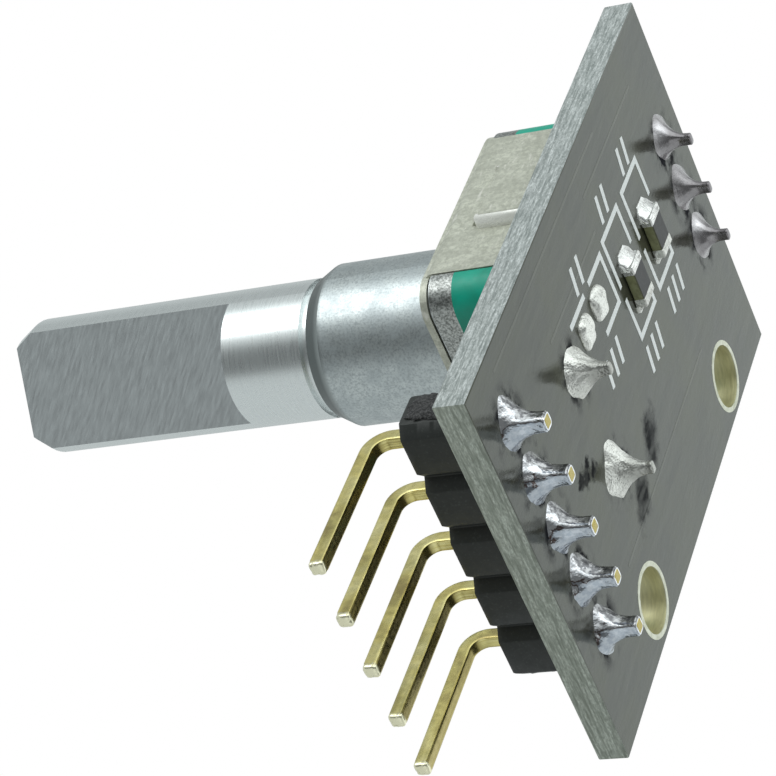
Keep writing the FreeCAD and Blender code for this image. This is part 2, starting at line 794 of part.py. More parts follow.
def rotor():
    whole = body("rotor_whole")
    turned(
        whole,
        "Revolution",
        "rotor_disc",
        [
            ("0", "hub_bottom"),
            ("hub_radius", "hub_bottom"),
            ("hub_radius", "rotor_bottom"),
            ("rotor_radius", "rotor_bottom"),
            ("rotor_radius", "rotor_top"),
            ("0", "rotor_top"),
        ],
    )
    return cut("rotor", whole, cut("rotor_hole", rotor_core(), rotor_core_sides()))


def rotor_core():
    core = doc.addObject("Part::Cylinder", "rotor_core")
    bind(core, "Radius", "stem_radius + drive_clearance")
    bind(core, "Height", "rotor_top - hub_bottom")
    bind(core, "Placement.Base.z", "board_face_z + hub_bottom")
    return core


def rotor_core_sides():
    reach = "2 * stem_radius"
    limit = "stem_half + drive_clearance"
    sides = []
    for name, span in (("low", ("-" + reach, "-(%s)" % limit)), ("high", (limit, reach))):
        sides.append(box("core_side_" + name, ("-" + reach, reach), span, ("hub_bottom", "rotor_top")))
    return fuse("rotor_core_sides", sides)


def code_disc():
    item = body("code_disc")
    turned(
        item,
        "Revolution",
        "code_ring",
        [
            ("code_inner", "code_bottom"),
            ("code_outer", "code_bottom"),
            ("code_outer", "rotor_bottom"),
            ("code_inner", "rotor_bottom"),
        ],
    )
    doc.recompute()
    window = sketch(item, "code_window_outline", height="rotor_bottom")
    rectangle(
        window, "code_window_inner", "code_window_outer", "-code_window_half", "code_window_half"
    )
    first = pocket(item, "code_window", window, "rotor_bottom - code_bottom")
    around(item, "code_windows", first, "detents")
    return item


def detent_spring():
    item = body("detent_spring")
    turned(
        item,
        "Revolution",
        "spring_ring",
        [
            ("spring_inner", "rotor_top"),
            ("rotor_radius", "rotor_top"),
            ("rotor_radius", "spring_top"),
            ("spring_inner", "spring_top"),
        ],
    )
    doc.recompute()
    nibs = sketch(item, "nib_outline", height="spring_top")
    for low, high in (("-nib_outer", "-nib_inner"), ("nib_inner", "nib_outer")):
        rectangle(nibs, low, high, "-nib_half_width", "nib_half_width")
    pad(item, "nibs", nibs, "nib_top - spring_top")
    return item


def plunger():
    item = body("plunger")
    turned(
        item,
        "Revolution",
        "plunger_turned",
        [
            ("0", "plunger_bottom"),
            ("plunger_flange", "plunger_bottom"),
            ("plunger_flange", "plunger_flange_top"),
            ("plunger_radius", "plunger_flange_top"),
            ("plunger_radius", "plunger_top"),
            ("0", "plunger_top"),
        ],
    )
    return item


def snap_dome():
    """A sprung cap that stands on the well's floor, open at its rim over the centre contact's strip."""
    whole = body("snap_dome_whole")
    turned(
        whole,
        "Revolution",
        "dome_turned",
        [
            ("0", "dome_apex - dome_thickness"),
            ("dome_crown", "dome_apex - dome_thickness"),
            ("dome_radius - dome_thickness", "base_floor"),
            ("dome_radius", "base_floor"),
            ("dome_radius", "base_floor + dome_thickness"),
            ("dome_crown + dome_thickness", "dome_apex"),
            ("0", "dome_apex"),
        ],
    )
    window = box(
        "dome_window",
        ("-dome_window_half", "dome_window_half"),
        ("-2 * dome_radius", "-dome_window_inner"),
        ("base_floor", "dome_apex"),
    )
    return cut("snap_dome", whole, window)


# ---- the assembly --------------------------------------------------------------------------------

pins = [header_pin(index) for index in range(HEADER_PINS)]
ENCODER_TERMINALS = (
    ("a", "-encoder_pitch", "outer_wiper_y"),
    ("common", "0", "middle_wiper_y"),
    ("b", "encoder_pitch", "outer_wiper_y"),
)
wipers = [encoder_terminal(suffix, x, tip) for suffix, x, tip in ENCODER_TERMINALS]
contacts = switch_terminals()

nodes = {"circuit_board": circuit_board(), "header_body": header_body(pins)}
for index, pin in enumerate(pins):
    nodes[pin.Label] = pin
    name = "header_solder_%d" % (index + 1)
    nodes[name] = solder_joint(name, header_place(index), "-header_y", "header", pin)
for (suffix, x, tip), wiper in zip(ENCODER_TERMINALS, wipers):
    nodes[wiper.Label] = wiper
    name = "encoder_solder_" + suffix
    nodes[name] = solder_joint(name, x, "encoder_row_y", "encoder", wiper)
for number, (x, contact) in enumerate(zip(("-switch_offset_x", "switch_offset_x"), contacts), start=1):
    nodes[contact.Label] = contact
    name = "switch_solder_%d" % number
    nodes[name] = solder_joint(name, x, "-switch_row_y", "switch", contact)
for number, y in (("2", "chip_2_y"), ("3", "chip_3_y")):
    for piece in chip(number, "chip_x", y):
        nodes[piece.Label] = piece
nodes["empty_pad_solder"] = empty_pad_solder()
nodes["switch_base"] = switch_base(contacts)
nodes["snap_dome"] = snap_dome()
nodes["plunger"] = plunger()
nodes["encoder_housing"] = encoder_housing(wipers)
nodes["rotor"] = rotor()
nodes["code_disc"] = code_disc()
nodes["detent_spring"] = detent_spring()
nodes["bushing_housing"] = bushing_housing()
nodes["frame"] = frame()
nodes["shaft"] = shaft()
nodes["retaining_ring"] = retaining_ring()

doc.recompute()
for item in doc.Objects:
    if "Invalid" in item.State or "Error" in item.State:
        raise RuntimeError("%s did not compute: %s" % (item.Name, item.State))
os.makedirs("parts", exist_ok=True)
for name, item in nodes.items():
    shape = item.Shape
    if shape.isNull() or not shape.isValid() or not shape.Solids:
        raise RuntimeError(name + " has no valid solid")
    shape.exportStep("parts/%s.step" % name)
    size = shape.BoundBox
    print("%-22s solids %d volume %9.3f  z %7.2f..%6.2f" % (
        name, len(shape.Solids), shape.Volume, size.ZMin, size.ZMax))
print(len(nodes), "nodes")
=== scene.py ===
import json
import math

import bmesh
import bpy
from mathutils import Matrix, Vector, noise


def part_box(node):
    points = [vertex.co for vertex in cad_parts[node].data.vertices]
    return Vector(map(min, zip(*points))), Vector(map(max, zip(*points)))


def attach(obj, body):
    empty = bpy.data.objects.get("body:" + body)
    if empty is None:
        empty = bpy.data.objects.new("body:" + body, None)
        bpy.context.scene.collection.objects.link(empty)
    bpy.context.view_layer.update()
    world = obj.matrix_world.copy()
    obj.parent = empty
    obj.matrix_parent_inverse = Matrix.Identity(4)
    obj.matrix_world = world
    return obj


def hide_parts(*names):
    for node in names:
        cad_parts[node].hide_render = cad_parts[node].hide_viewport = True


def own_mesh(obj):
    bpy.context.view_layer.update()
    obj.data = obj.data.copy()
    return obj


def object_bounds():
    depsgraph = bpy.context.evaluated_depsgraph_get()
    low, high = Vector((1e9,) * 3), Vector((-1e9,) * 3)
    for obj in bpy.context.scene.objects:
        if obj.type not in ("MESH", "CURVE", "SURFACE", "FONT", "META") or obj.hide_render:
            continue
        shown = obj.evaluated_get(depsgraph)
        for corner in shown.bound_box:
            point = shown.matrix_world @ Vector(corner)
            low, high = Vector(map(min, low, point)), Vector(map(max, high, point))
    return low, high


# Looks of the rotary encoder on its carrier board. Metres, in the CAD row frame.
# Sizes below are in millimetres and go through mm(); places come from the CAD boxes.

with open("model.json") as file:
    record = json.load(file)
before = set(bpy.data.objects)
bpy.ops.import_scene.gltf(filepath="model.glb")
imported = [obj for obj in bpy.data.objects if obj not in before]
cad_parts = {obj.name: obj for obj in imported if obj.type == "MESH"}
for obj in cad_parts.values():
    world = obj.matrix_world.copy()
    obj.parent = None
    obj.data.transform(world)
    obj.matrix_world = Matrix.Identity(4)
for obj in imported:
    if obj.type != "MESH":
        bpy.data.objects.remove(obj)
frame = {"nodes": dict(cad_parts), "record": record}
cad_low, cad_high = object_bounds()
nodes = frame["nodes"]


def mm(*values):
    """Millimetres as metres: one number, or a Vector of two or three."""
    scaled = [number * 0.001 for number in values]
    return scaled[0] if len(scaled) == 1 else Vector(scaled)


board_low, board_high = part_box("circuit_board")
REAR = board_low.z
HEADER_PINS = 5
TURN = 2 * math.pi


def middle(node):
    """The centre of a CAD node's box."""
    low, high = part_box(node)
    return (low + high) / 2


def joint_centres():
    """The centre of every solder joint of a lead."""
    names = ["header_solder_%d" % (index + 1) for index in range(HEADER_PINS)]
    names += ["encoder_solder_" + suffix for suffix in ("a", "common", "b")]
    names += ["switch_solder_1", "switch_solder_2"]
    return [middle(name) for name in names]


# ---- node graphs ----


class Graph:
    """A node tree being made: each call adds one node and returns its output."""

    def __init__(self, tree):
        self.tree = tree

    def add(self, kind, inputs, output=0, **settings):
        node = self.tree.nodes.new("ShaderNode" + kind)
        for word, setting in settings.items():
            setattr(node, word, setting)
        for key, value in inputs.items():
            if isinstance(value, bpy.types.NodeSocket):
                self.tree.links.new(value, node.inputs[key])
            else:
                node.inputs[key].default_value = value
        return node.outputs[output]

    def span(self, value, low, high, to_low=0.0, to_high=1.0, **settings):
        inputs = {"Value": value, "From Min": low, "From Max": high}
        inputs.update({"To Min": to_low, "To Max": to_high})
        return self.add("MapRange", inputs, **settings)

    def math(self, operation, *values):
        return self.add("Math", dict(enumerate(values)), operation=operation)

    def dot(self, first, second):
        return self.add("VectorMath", {0: first, 1: second}, output="Value", operation="DOT_PRODUCT")


class Finish(Graph):
    """A material being made from its Principled shader; values are numbers of the shader's sockets."""

    def __init__(self, name, colour=None, **values):
        self.material = bpy.data.materials.new(name)
        self.material.use_nodes = True
        super().__init__(self.material.node_tree)
        self.shader = self.tree.nodes["Principled BSDF"]
        if colour:
            self.shader.inputs["Base Color"].default_value = (*colour, 1)
        for word, number in values.items():
            socket = word.replace("_", " ").title().replace("Ior", "IOR")
            self.shader.inputs[socket].default_value = number
        metres = self.add("TexCoord", {}, output="Object")
        self.place = self.add("VectorMath", {0: metres, "Scale": 1000.0}, operation="SCALE")
        self.facing = self.add("NewGeometry", {}, output="Normal")

    def stretched(self, factors):
        """The place in millimetres, with each axis scaled on its own."""
        return self.add("VectorMath", {0: self.place, 1: factors}, operation="MULTIPLY")

    def grain(self, scale, detail=3.0, stretch=None, roughness=0.55, where=None):
        if where is None:
            where = self.stretched(stretch) if stretch else self.place
        inputs = {"Vector": where, "Scale": scale, "Detail": detail, "Roughness": roughness}
        return self.add("TexNoise", inputs, output="Fac")

    def cells(self, scale, stretch=None):
        where = self.stretched(stretch) if stretch else self.place
        return self.add("TexVoronoi", {"Vector": where, "Scale": scale}, output="Distance")

    def blend(self, share, first, second):
        colours = {}
        for key, colour in ((6, first), (7, second)):
            colours[key] = (*colour, 1) if isinstance(colour, tuple) else colour
        return self.add("Mix", {0: share, **colours}, output=2, data_type="RGBA")

    def along(self, direction):
        """How far the surface faces a direction, from -1 to 1."""
        return self.dot(self.facing, direction)

    def coordinate(self, axis):
        """The place along X, Y or Z (0, 1 or 2) in millimetres."""
        return self.add("SeparateXYZ", {0: self.place}, output=axis)

    def near(self, point, inner, outer):
        """1 within inner millimetres of a point, falling to 0 at outer."""
        spot = Vector(point) * 1000
        away = self.add("VectorMath", {0: self.place, 1: spot}, output="Value", operation="DISTANCE")
        return self.span(away, inner, outer, 1.0, 0.0)

    def colour(self, socket):
        self.tree.links.new(socket, self.shader.inputs["Base Color"])

    def roughness(self, socket):
        self.tree.links.new(socket, self.shader.inputs["Roughness"])

    def specular(self, socket):
        self.tree.links.new(socket, self.shader.inputs["Specular IOR Level"])

    def mottle(self, value, low, high, first, second):
        """Colour that goes from first to second as a value goes from low to high."""
        self.colour(self.blend(self.span(value, low, high), first, second))

    def polish(self, value, smooth, rough):
        """Roughness between two numbers that follows a value such as a grain."""
        self.roughness(self.span(value, 0.3, 0.7, smooth, rough))

    def relief(self, socket, height, strength=1.0, under=None):
        """Bump of a height in millimetres; under is an earlier relief that it lies on."""
        inputs = {"Height": socket, "Distance": height * 0.001, "Strength": strength}
        if under:
            inputs["Normal"] = under
        bump = self.add("Bump", inputs)
        self.tree.links.new(bump, self.shader.inputs["Normal"])
        return bump


# ---- camera, floor and light ----

CAMERA_PLACE = mm(63.736, -89.796, -50.255)
CAMERA_TARGET = mm(0.263, -3.726, 4.179)
CAMERA_UP = Vector((0.76383, 0.63529, -0.11385))
CAMERA_LENS = 136.05

KEY_DIRECTION = Vector((0.888, 0.078, 0.454))
FILL_DIRECTION = Vector((-0.35, -0.80, -0.10))
GLOW_DIRECTION = Vector((-0.529, 0.717, -0.454))
ROOM_LIGHT = 0.58
ROOM_SHADE = 0.14
SOFTBOX_LIGHT = 0.75
GLOW_LIGHT = 0.44
CEILING_SHADE = -0.17


def look(place, target, up):
    """The matrix of a camera or lamp at place that looks at target."""
    ahead = (target - place).normalized()
    right = ahead.cross(up).normalized()
    turned = Matrix((right, right.cross(ahead), -ahead)).transposed().to_4x4()
    return Matrix.Translation(place) @ turned


def make_camera():
    """The camera of the rest view, behind and below the object."""
    camera = bpy.data.cameras.new("camera")
    camera.lens = CAMERA_LENS
    camera.sensor_width = 36
    camera.clip_start = 0.001
    camera.clip_end = 10
    made = bpy.data.objects.new("camera", camera)
    made.matrix_world = look(CAMERA_PLACE, CAMERA_TARGET, CAMERA_UP)
    bpy.context.scene.collection.objects.link(made)
    bpy.context.scene.camera = made


def make_lamp(name, direction, distance, size, power, colour):
    """A round soft lamp that shines on the object from a direction and isn't seen itself."""
    lamp = bpy.data.lights.new(name, "AREA")
    lamp.shape = "DISK"
    lamp.size = size
    lamp.energy = power
    lamp.color = colour
    made = bpy.data.objects.new(name, lamp)
    centre = (cad_low + cad_high) / 2
    place = centre + direction.normalized() * distance
    made.matrix_world = look(place, centre, Vector((0, 0, 1)))
    made.visible_camera = False
    bpy.context.scene.collection.objects.link(made)


def make_world():
    """White for the camera. For light and reflections: a pale room, a bright overhead softbox on the
    camera's side, a dark strip at the camera's own level and a glow that the board's gloss mirrors."""
    world = bpy.data.worlds.new("studio")
    world.use_nodes = True
    bpy.context.scene.world = world
    tree = world.node_tree
    graph = Graph(tree)
    place = graph.add("TexCoord", {}, output="Generated")

    def step(value, *limits):
        return graph.span(value, *limits, interpolation_type="SMOOTHSTEP")

    height = graph.dot(place, CAMERA_UP.normalized())
    towards = graph.dot(place, (CAMERA_PLACE - CAMERA_TARGET).normalized())
    softbox = graph.math("MULTIPLY", step(height, 0.38, 0.62), step(towards, -0.30, 0.0))
    strip = graph.math("MULTIPLY", step(height, -0.62, -0.38), step(height, 0.12, 0.34, 1.0, 0.0))
    dark = graph.math("MULTIPLY", strip, step(towards, 0.05, 0.55))
    shaded = graph.math("MULTIPLY_ADD", dark, ROOM_SHADE - ROOM_LIGHT, ROOM_LIGHT)
    lit = graph.math("MULTIPLY_ADD", softbox, SOFTBOX_LIGHT, shaded)
    ceiling = graph.math("MULTIPLY", step(height, 0.40, 0.70), step(towards, -0.45, -0.15, 1.0, 0.0))
    lit = graph.math("MULTIPLY_ADD", ceiling, CEILING_SHADE, lit)
    glow = step(graph.dot(place, GLOW_DIRECTION.normalized()), 0.70, 0.95)
    room = tree.nodes["Background"]
    room.inputs["Color"].default_value = (0.94, 1.0, 1.0, 1)
    tree.links.new(graph.math("MULTIPLY_ADD", glow, GLOW_LIGHT, lit), room.inputs["Strength"])
    backdrop = graph.add("Background", {"Color": (1, 1, 1, 1)})
    seen = graph.add("LightPath", {}, output="Is Camera Ray")
    mix = graph.add("MixShader", {0: seen, 1: room.outputs[0], 2: backdrop})
    tree.links.new(mix, tree.nodes["World Output"].inputs["Surface"])


def make_floor():
    """A pale floor under the object. It is open from below, where the camera of the rest view is."""
    half = 0.6
    mesh = bpy.data.meshes.new("floor")
    corners = [(-half, -half, 0), (half, -half, 0), (half, half, 0), (-half, half, 0)]
    mesh.from_pydata(corners, [], [(0, 1, 2, 3)])
    floor = bpy.data.objects.new("floor", mesh)
    floor.location.z = cad_low.z
    bpy.context.scene.collection.objects.link(floor)
    made = Finish("pale_floor", (0.86, 0.87, 0.87), roughness=0.8)
    below = made.add("NewGeometry", {}, output="Backfacing")
    clear = made.add("BsdfTransparent", {})
    mix = made.add("MixShader", {0: below, 1: made.shader.outputs[0], 2: clear})
    made.tree.links.new(mix, made.tree.nodes["Material Output"].inputs["Surface"])
    mesh.materials.append(made.material)
    for kind in ("diffuse", "glossy", "transmission", "shadow", "volume_scatter"):
        setattr(floor, "visible_" + kind, False)


make_camera()
make_world()
make_lamp("key_lamp", KEY_DIRECTION, 0.30, 0.16, 0.11, (1.0, 1.0, 1.0))
make_lamp("fill_lamp", FILL_DIRECTION, 0.35, 0.25, 0.02, (0.95, 1.0, 1.0))
make_floor()
bpy.context.scene.view_settings.view_transform = "Standard"


# ---- materials ----

# Levels in millimetres where a finish changes: the board's rear face, the bushing's end chamfer, the
# shaft's flat and the tips of the header pins.
REAR_LEVEL = REAR * 1000
CHAMFER_START = 7.00
FLAT_START = 11.90
PIN_TIP = cad_low.y * 1000
# Dark patches on the rear face: x, y and size. They are longer along the first axis than the second.
# The last three are painted shade: a row that runs on from the shade beside a joint as a dark band.
DARK_PATCHES = (
    (-3.80, -3.60, 1.10),
    (-4.62, -6.30, 1.10),
    (-0.25, -10.25, 0.36),
    (-0.60, -9.72, 0.44),
    (-0.85, -9.15, 0.40),
)
DARK_PATCH_AXES = ((0.53, 0.69, 0), (1.13, -0.87, 0))
# Painted highlights: places of a pale spot painted on the feet of two encoder joints.
PAINTED_HIGHLIGHTS = (mm(3.35, 7.52, -6.12), mm(-1.65, 7.60, -6.12))


def solder_mask(name, dark, pale, olive):
    """Black mask gone grey with gloss, streaked along the board, with flux round the joints."""
    made = Finish(name, specular_tint=(0.93, 1.0, 0.92, 1.0))
    streaks = made.grain(2.4, 4.0, (1.0, 0.10, 1.0))
    clouds = made.grain(0.30, 3.0)
    tone = made.blend(made.span(streaks, 0.35, 0.65), dark, pale)
    tone = made.blend(made.span(clouds, 0.45, 0.7), tone, olive)
    flux = None
    for centre in joint_centres():
        spot = made.near((centre.x, centre.y, REAR), 0.95, 1.75)
        flux = made.math("MAXIMUM", flux, spot) if flux else spot
    flux_and_dark_patches = made.math("MULTIPLY", flux, made.span(made.grain(1.3, 4.0), 0.44, 0.60))
    brushed = made.span(made.grain(2.0, 5.0, (1.0, 0.4, 1.0)), 0.30, 0.60, 0.50, 0.85)
    ragged = made.span(made.grain(1.4, 3.0), 0.3, 0.7, -0.35, 0.35)
    # Dark patches at the listed places, on top of the dark flux round the joints; the last three of
    # them are painted shade.
    for x, y, size in DARK_PATCHES:
        away = made.add("VectorMath", {0: made.place, 1: (x, y, REAR_LEVEL)}, operation="SUBTRACT")
        long, wide = (made.dot(away, axis) for axis in DARK_PATCH_AXES)
        flat = made.add("CombineXYZ", {0: long, 1: wide, 2: 0.0})
        radius = made.add("VectorMath", {0: flat}, output="Value", operation="LENGTH")
        radius = made.math("ADD", radius, ragged)
        near = made.span(radius, 0.60 * size, 1.25 * size, 1.0, 0.0)
        dark_patch = made.math("MULTIPLY", near, brushed)
        flux_and_dark_patches = made.math("MAXIMUM", flux_and_dark_patches, dark_patch)
    made.colour(made.blend(flux_and_dark_patches, tone, (0.010, 0.011, 0.016)))
    made.specular(made.span(flux_and_dark_patches, 0.0, 0.8, 0.60, 0.02))
    wear = made.span(made.grain(5.0, 5.0, (1.0, 0.15, 1.0)), 0.3, 0.8, 0.05, 0.16)
    made.roughness(made.math("MULTIPLY_ADD", flux_and_dark_patches, 0.45, wear))
    ripple = made.relief(made.grain(1.1, 2.0, (1.0, 0.25, 1.0)), 0.05, 0.28)
    weave = made.relief(made.grain(7.0, 3.0, (1.0, 0.3, 1.0)), 0.008, 0.6, ripple)
    made.relief(made.grain(22.0, 3.0, (1.0, 0.4, 1.0)), 0.006, 0.55, weave)
    return made.material


def laminate():
    """Sawn glass-fibre board: pale fibres in layers along the edge, frosted where torn."""
    made = Finish("laminate_edge", roughness=0.62)
    layers = made.grain(5.0, 4.0, (0.20, 0.20, 1.8))
    fibres = made.grain(13.0, 5.0, (0.40, 0.40, 1.0), 0.7)
    specks = made.cells(13.0, (0.5, 0.5, 1.2))
    weave = made.math("MULTIPLY", made.span(layers, 0.36, 0.62), made.span(fibres, 0.3, 0.7))
    long_edge = made.blend(weave, (0.24, 0.27, 0.26), (0.84, 0.88, 0.87))
    header_edge = made.blend(weave, (0.27, 0.30, 0.25), (0.80, 0.86, 0.77))
    frosted = made.blend(made.span(specks, 0.02, 0.30), (0.74, 0.78, 0.77), long_edge)
    across = made.span(made.add("Math", {0: made.along((1, 0, 0))}, operation="ABSOLUTE"), 0.4, 0.6)
    made.colour(made.blend(across, header_edge, frosted))
    rough = made.relief(layers, 0.05, 0.6)
    made.relief(fibres, 0.03, 0.8, rough)
    return made.material


def hole_plating():
    """Dull gold plating in the mounting holes, marked by the drill."""
    made = Finish("hole_plating", metallic=0.75)
    rings = made.grain(7.0, 3.0, (0.25, 0.25, 1.5))
    made.mottle(rings, 0.3, 0.7, (0.52, 0.50, 0.30), (0.68, 0.65, 0.40))
    made.polish(rings, 0.42, 0.55)
    made.relief(rings, 0.01, 0.35)
    return made.material


def pad_metal():
    """Pale tinned ring round a hole."""
    made = Finish("pad_metal", metallic=0.6)
    stain = made.grain(3.5, 4.0)
    made.mottle(stain, 0.35, 0.7, (0.78, 0.79, 0.66), (0.62, 0.63, 0.50))
    made.polish(stain, 0.32, 0.5)
    made.relief(made.grain(18.0), 0.006, 0.4)
    return made.material


def silkscreen():
    """Matt white ink, thin in places."""
    made = Finish("white_ink", roughness=0.6)
    thin = made.grain(7.0, 4.0)
    made.mottle(thin, 0.55, 0.8, (0.97, 1.0, 0.99), (0.74, 0.80, 0.79))
    made.relief(made.grain(20.0), 0.006, 0.4)
    return made.material


def bright_solder():
    """Mirror-bright tin solder with painted reflection bands: painted highlights on the pale flanks, a
    painted dark upper side, a thin painted dark line between and a painted cool blue-grey lower side.
    """
    made = Finish("bright_solder", metallic=1.0)
    ragged = made.span(made.grain(2.6, 4.0), 0.0, 1.0, -0.55, 0.55)
    # The painted reflection bands follow how far the surface faces the camera's up direction, with a
    # ragged edge.
    side = made.math("ADD", made.along((0.764, 0.635, -0.114)), ragged)
    patch = made.grain(5.0, 4.0)
    # Painted colours: pale for the painted highlights on the flanks, dark for the painted dark upper
    # side, blue-grey for the painted cool lower side.
    pale = made.blend(made.span(patch, 0.45, 0.62), (0.93, 0.93, 0.96), (0.74, 0.76, 0.80))
    painted_dark_top = made.blend(made.span(patch, 0.42, 0.60), (0.20, 0.20, 0.21), (0.55, 0.55, 0.56))
    painted_cool_side = made.blend(made.span(patch, 0.40, 0.60), (0.52, 0.57, 0.64), (0.66, 0.70, 0.76))
    tone = made.blend(made.span(side, -0.12, -0.04), painted_cool_side, pale)
    # A thin painted dark line between the painted cool side and the painted highlights.
    painted_dark_line = made.math("MULTIPLY", made.span(side, -0.16, -0.12), made.span(side, -0.04, -0.08))
    tone = made.blend(painted_dark_line, tone, (0.20, 0.15, 0.14))
    tone = made.blend(made.span(side, 0.42, 0.50), tone, painted_dark_top)
    made.colour(tone)
    made.roughness(made.span(made.grain(6.0, 4.0), 0.35, 0.7, 0.05, 0.18))
    wrinkles = made.relief(made.grain(3.0, 3.0, (1.0, 1.0, 0.5)), 0.10, 0.5)
    made.relief(made.grain(26.0, 3.0), 0.005, 0.4, wrinkles)
    return made.material


def dull_solder(name, pale, dark, rough, grain, lumpy, painted_highlights=()):
    """Frosted solder: grain and lumpy are the depths of its crystals and lumps in millimetres.

    The places in the last argument get a painted highlight: a pale spot of colour round each.
    """
    made = Finish(name, metallic=0.85)
    crystals = made.cells(11.0)
    patches = made.grain(1.6, 3.0)
    speckled = made.blend(made.span(crystals, 0.1, 0.5), dark, pale)
    tone = made.blend(made.span(patches, 0.40, 0.62), speckled, pale)
    # Painted highlight: a pale spot of colour round each place.
    for place in painted_highlights:
        tone = made.blend(made.near(place, 0.10, 0.55), tone, (1.0, 0.97, 1.0))
    level = made.coordinate(2)
    reach = made.math("ADD", level, made.span(patches, 0.0, 1.0, -0.3, 0.3))
    tip = made.span(reach, REAR_LEVEL - 0.75, REAR_LEVEL - 0.35, 0.75, 0.0)
    made.colour(made.blend(tip, tone, dark))
    made.polish(made.grain(5.0, 4.0), rough - 0.08, rough + 0.10)
    lumps = made.relief(made.grain(3.0, 2.0), lumpy, 0.5)
    made.relief(crystals, grain, 0.5, lumps)
    return made.material


def gold():
    """Gold over drawn square wire: olive tarnish in patches, pale bright ends where it was cut."""
    made = Finish("gold", metallic=1.0)
    drawn = made.grain(12.0, 3.0, (1.0, 0.05, 0.05))
    tarnish = made.grain(0.9, 4.0)
    tone = made.blend(made.span(tarnish, 0.42, 0.62), (0.82, 0.71, 0.27), (0.64, 0.57, 0.23))
    tone = made.blend(made.span(drawn, 0.45, 0.75), tone, (0.95, 0.87, 0.46))
    tone = made.blend(made.span(drawn, 0.46, 0.30), tone, (0.46, 0.38, 0.16))
    tone = made.blend(made.span(made.along((0, 0, -1)), 0.5, 0.8), tone, (0.50, 0.41, 0.14))
    depth = made.coordinate(1)
    ragged = made.math("MULTIPLY_ADD", made.grain(5.0, 4.0), 0.30, depth)
    cut = made.span(ragged, PIN_TIP + 0.42, PIN_TIP + 0.30)
    made.colour(made.blend(cut, tone, (1.0, 0.96, 0.70)))
    made.polish(made.grain(4.0, 4.0), 0.22, 0.36)
    marks = made.relief(drawn, 0.003, 0.4)
    made.relief(made.grain(3.0, 4.0), 0.03, 0.25, marks)
    return made.material


def black_moulding():
    """Satin black plastic with a fine moulded grain."""
    made = Finish("black_moulding")
    dust = made.grain(9.0, 5.0)
    made.mottle(dust, 0.55, 0.8, (0.018, 0.021, 0.019), (0.048, 0.055, 0.049))
    made.polish(made.grain(3.0, 4.0), 0.40, 0.56)
    waves = made.relief(made.grain(1.5, 2.0), 0.03, 0.3)
    made.relief(made.grain(28.0, 2.0), 0.006, 0.5, waves)
    return made.material


def green_moulding():
    """Glossy green plastic with faint flow marks."""
    made = Finish("green_moulding", specular_ior_level=0.45)
    flow = made.grain(0.8, 3.0)
    made.mottle(flow, 0.35, 0.7, (0.0, 0.44, 0.30), (0.005, 0.33, 0.215))
    made.polish(made.grain(4.0, 4.0), 0.32, 0.46)
    made.relief(made.grain(24.0, 2.0), 0.006, 0.4)
    return made.material


def sheet_steel():
    """Warm pale plated sheet with a rolling grain across the wall, and small scuffs."""
    made = Finish("sheet_steel", metallic=0.55)
    rolled = made.grain(4.0, 5.0, (1.0, 1.0, 0.25))
    scuffs = made.span(made.grain(2.2, 5.0, (1.0, 0.6, 2.0)), 0.60, 0.72)
    mottled = made.span(made.grain(4.5, 5.0, None, 0.75), 0.40, 0.60)
    dark, pale = (0.50, 0.51, 0.43), (0.72, 0.73, 0.63)
    tone = made.blend(made.math("MULTIPLY", made.span(rolled, 0.2, 0.6), mottled), dark, pale)
    made.colour(made.blend(scuffs, tone, (0.80, 0.79, 0.72)))
    made.polish(rolled, 0.42, 0.58)
    grain = made.relief(rolled, 0.012, 0.5)
    made.relief(made.grain(20.0, 3.0), 0.008, 0.5, grain)
    return made.material


def casting():
    """Turned and tumbled zinc: mottled bright bushing that is darker from the start of its end chamfer
    onward and darkest past it, dark grainy flange.
    """
    made = Finish("casting", metallic=1.0)
    pepper = made.grain(10.0, 5.0, None, 0.75)
    patches = made.grain(1.3, 4.0)
    level = made.coordinate(2)
    bright = made.blend(made.span(patches, 0.38, 0.62), (0.64, 0.69, 0.69), (0.55, 0.60, 0.61))
    bright = made.blend(made.span(pepper, 0.45, 0.62), bright, (0.42, 0.46, 0.47))
    rough_cast = made.blend(made.span(pepper, 0.42, 0.58), (0.58, 0.60, 0.58), (0.20, 0.21, 0.20))
    flange = made.span(level, -0.48, -0.42, 1.0, 0.0)
    tone = made.blend(flange, bright, rough_cast)
    rim = made.span(level, CHAMFER_START - 0.16, CHAMFER_START + 0.06)
    tone = made.blend(rim, tone, (0.30, 0.33, 0.33))
    hollow = made.span(level, CHAMFER_START + 0.10, CHAMFER_START + 0.30)
    made.colour(made.blend(hollow, tone, (0.17, 0.19, 0.19)))
    made.roughness(made.span(patches, 0.35, 0.65, 0.33, 0.43))
    rings = made.relief(made.grain(6.0, 3.0, (0.1, 0.1, 2.0)), 0.01, 0.3)
    made.relief(pepper, 0.006, 0.5, rings)
    return made.material


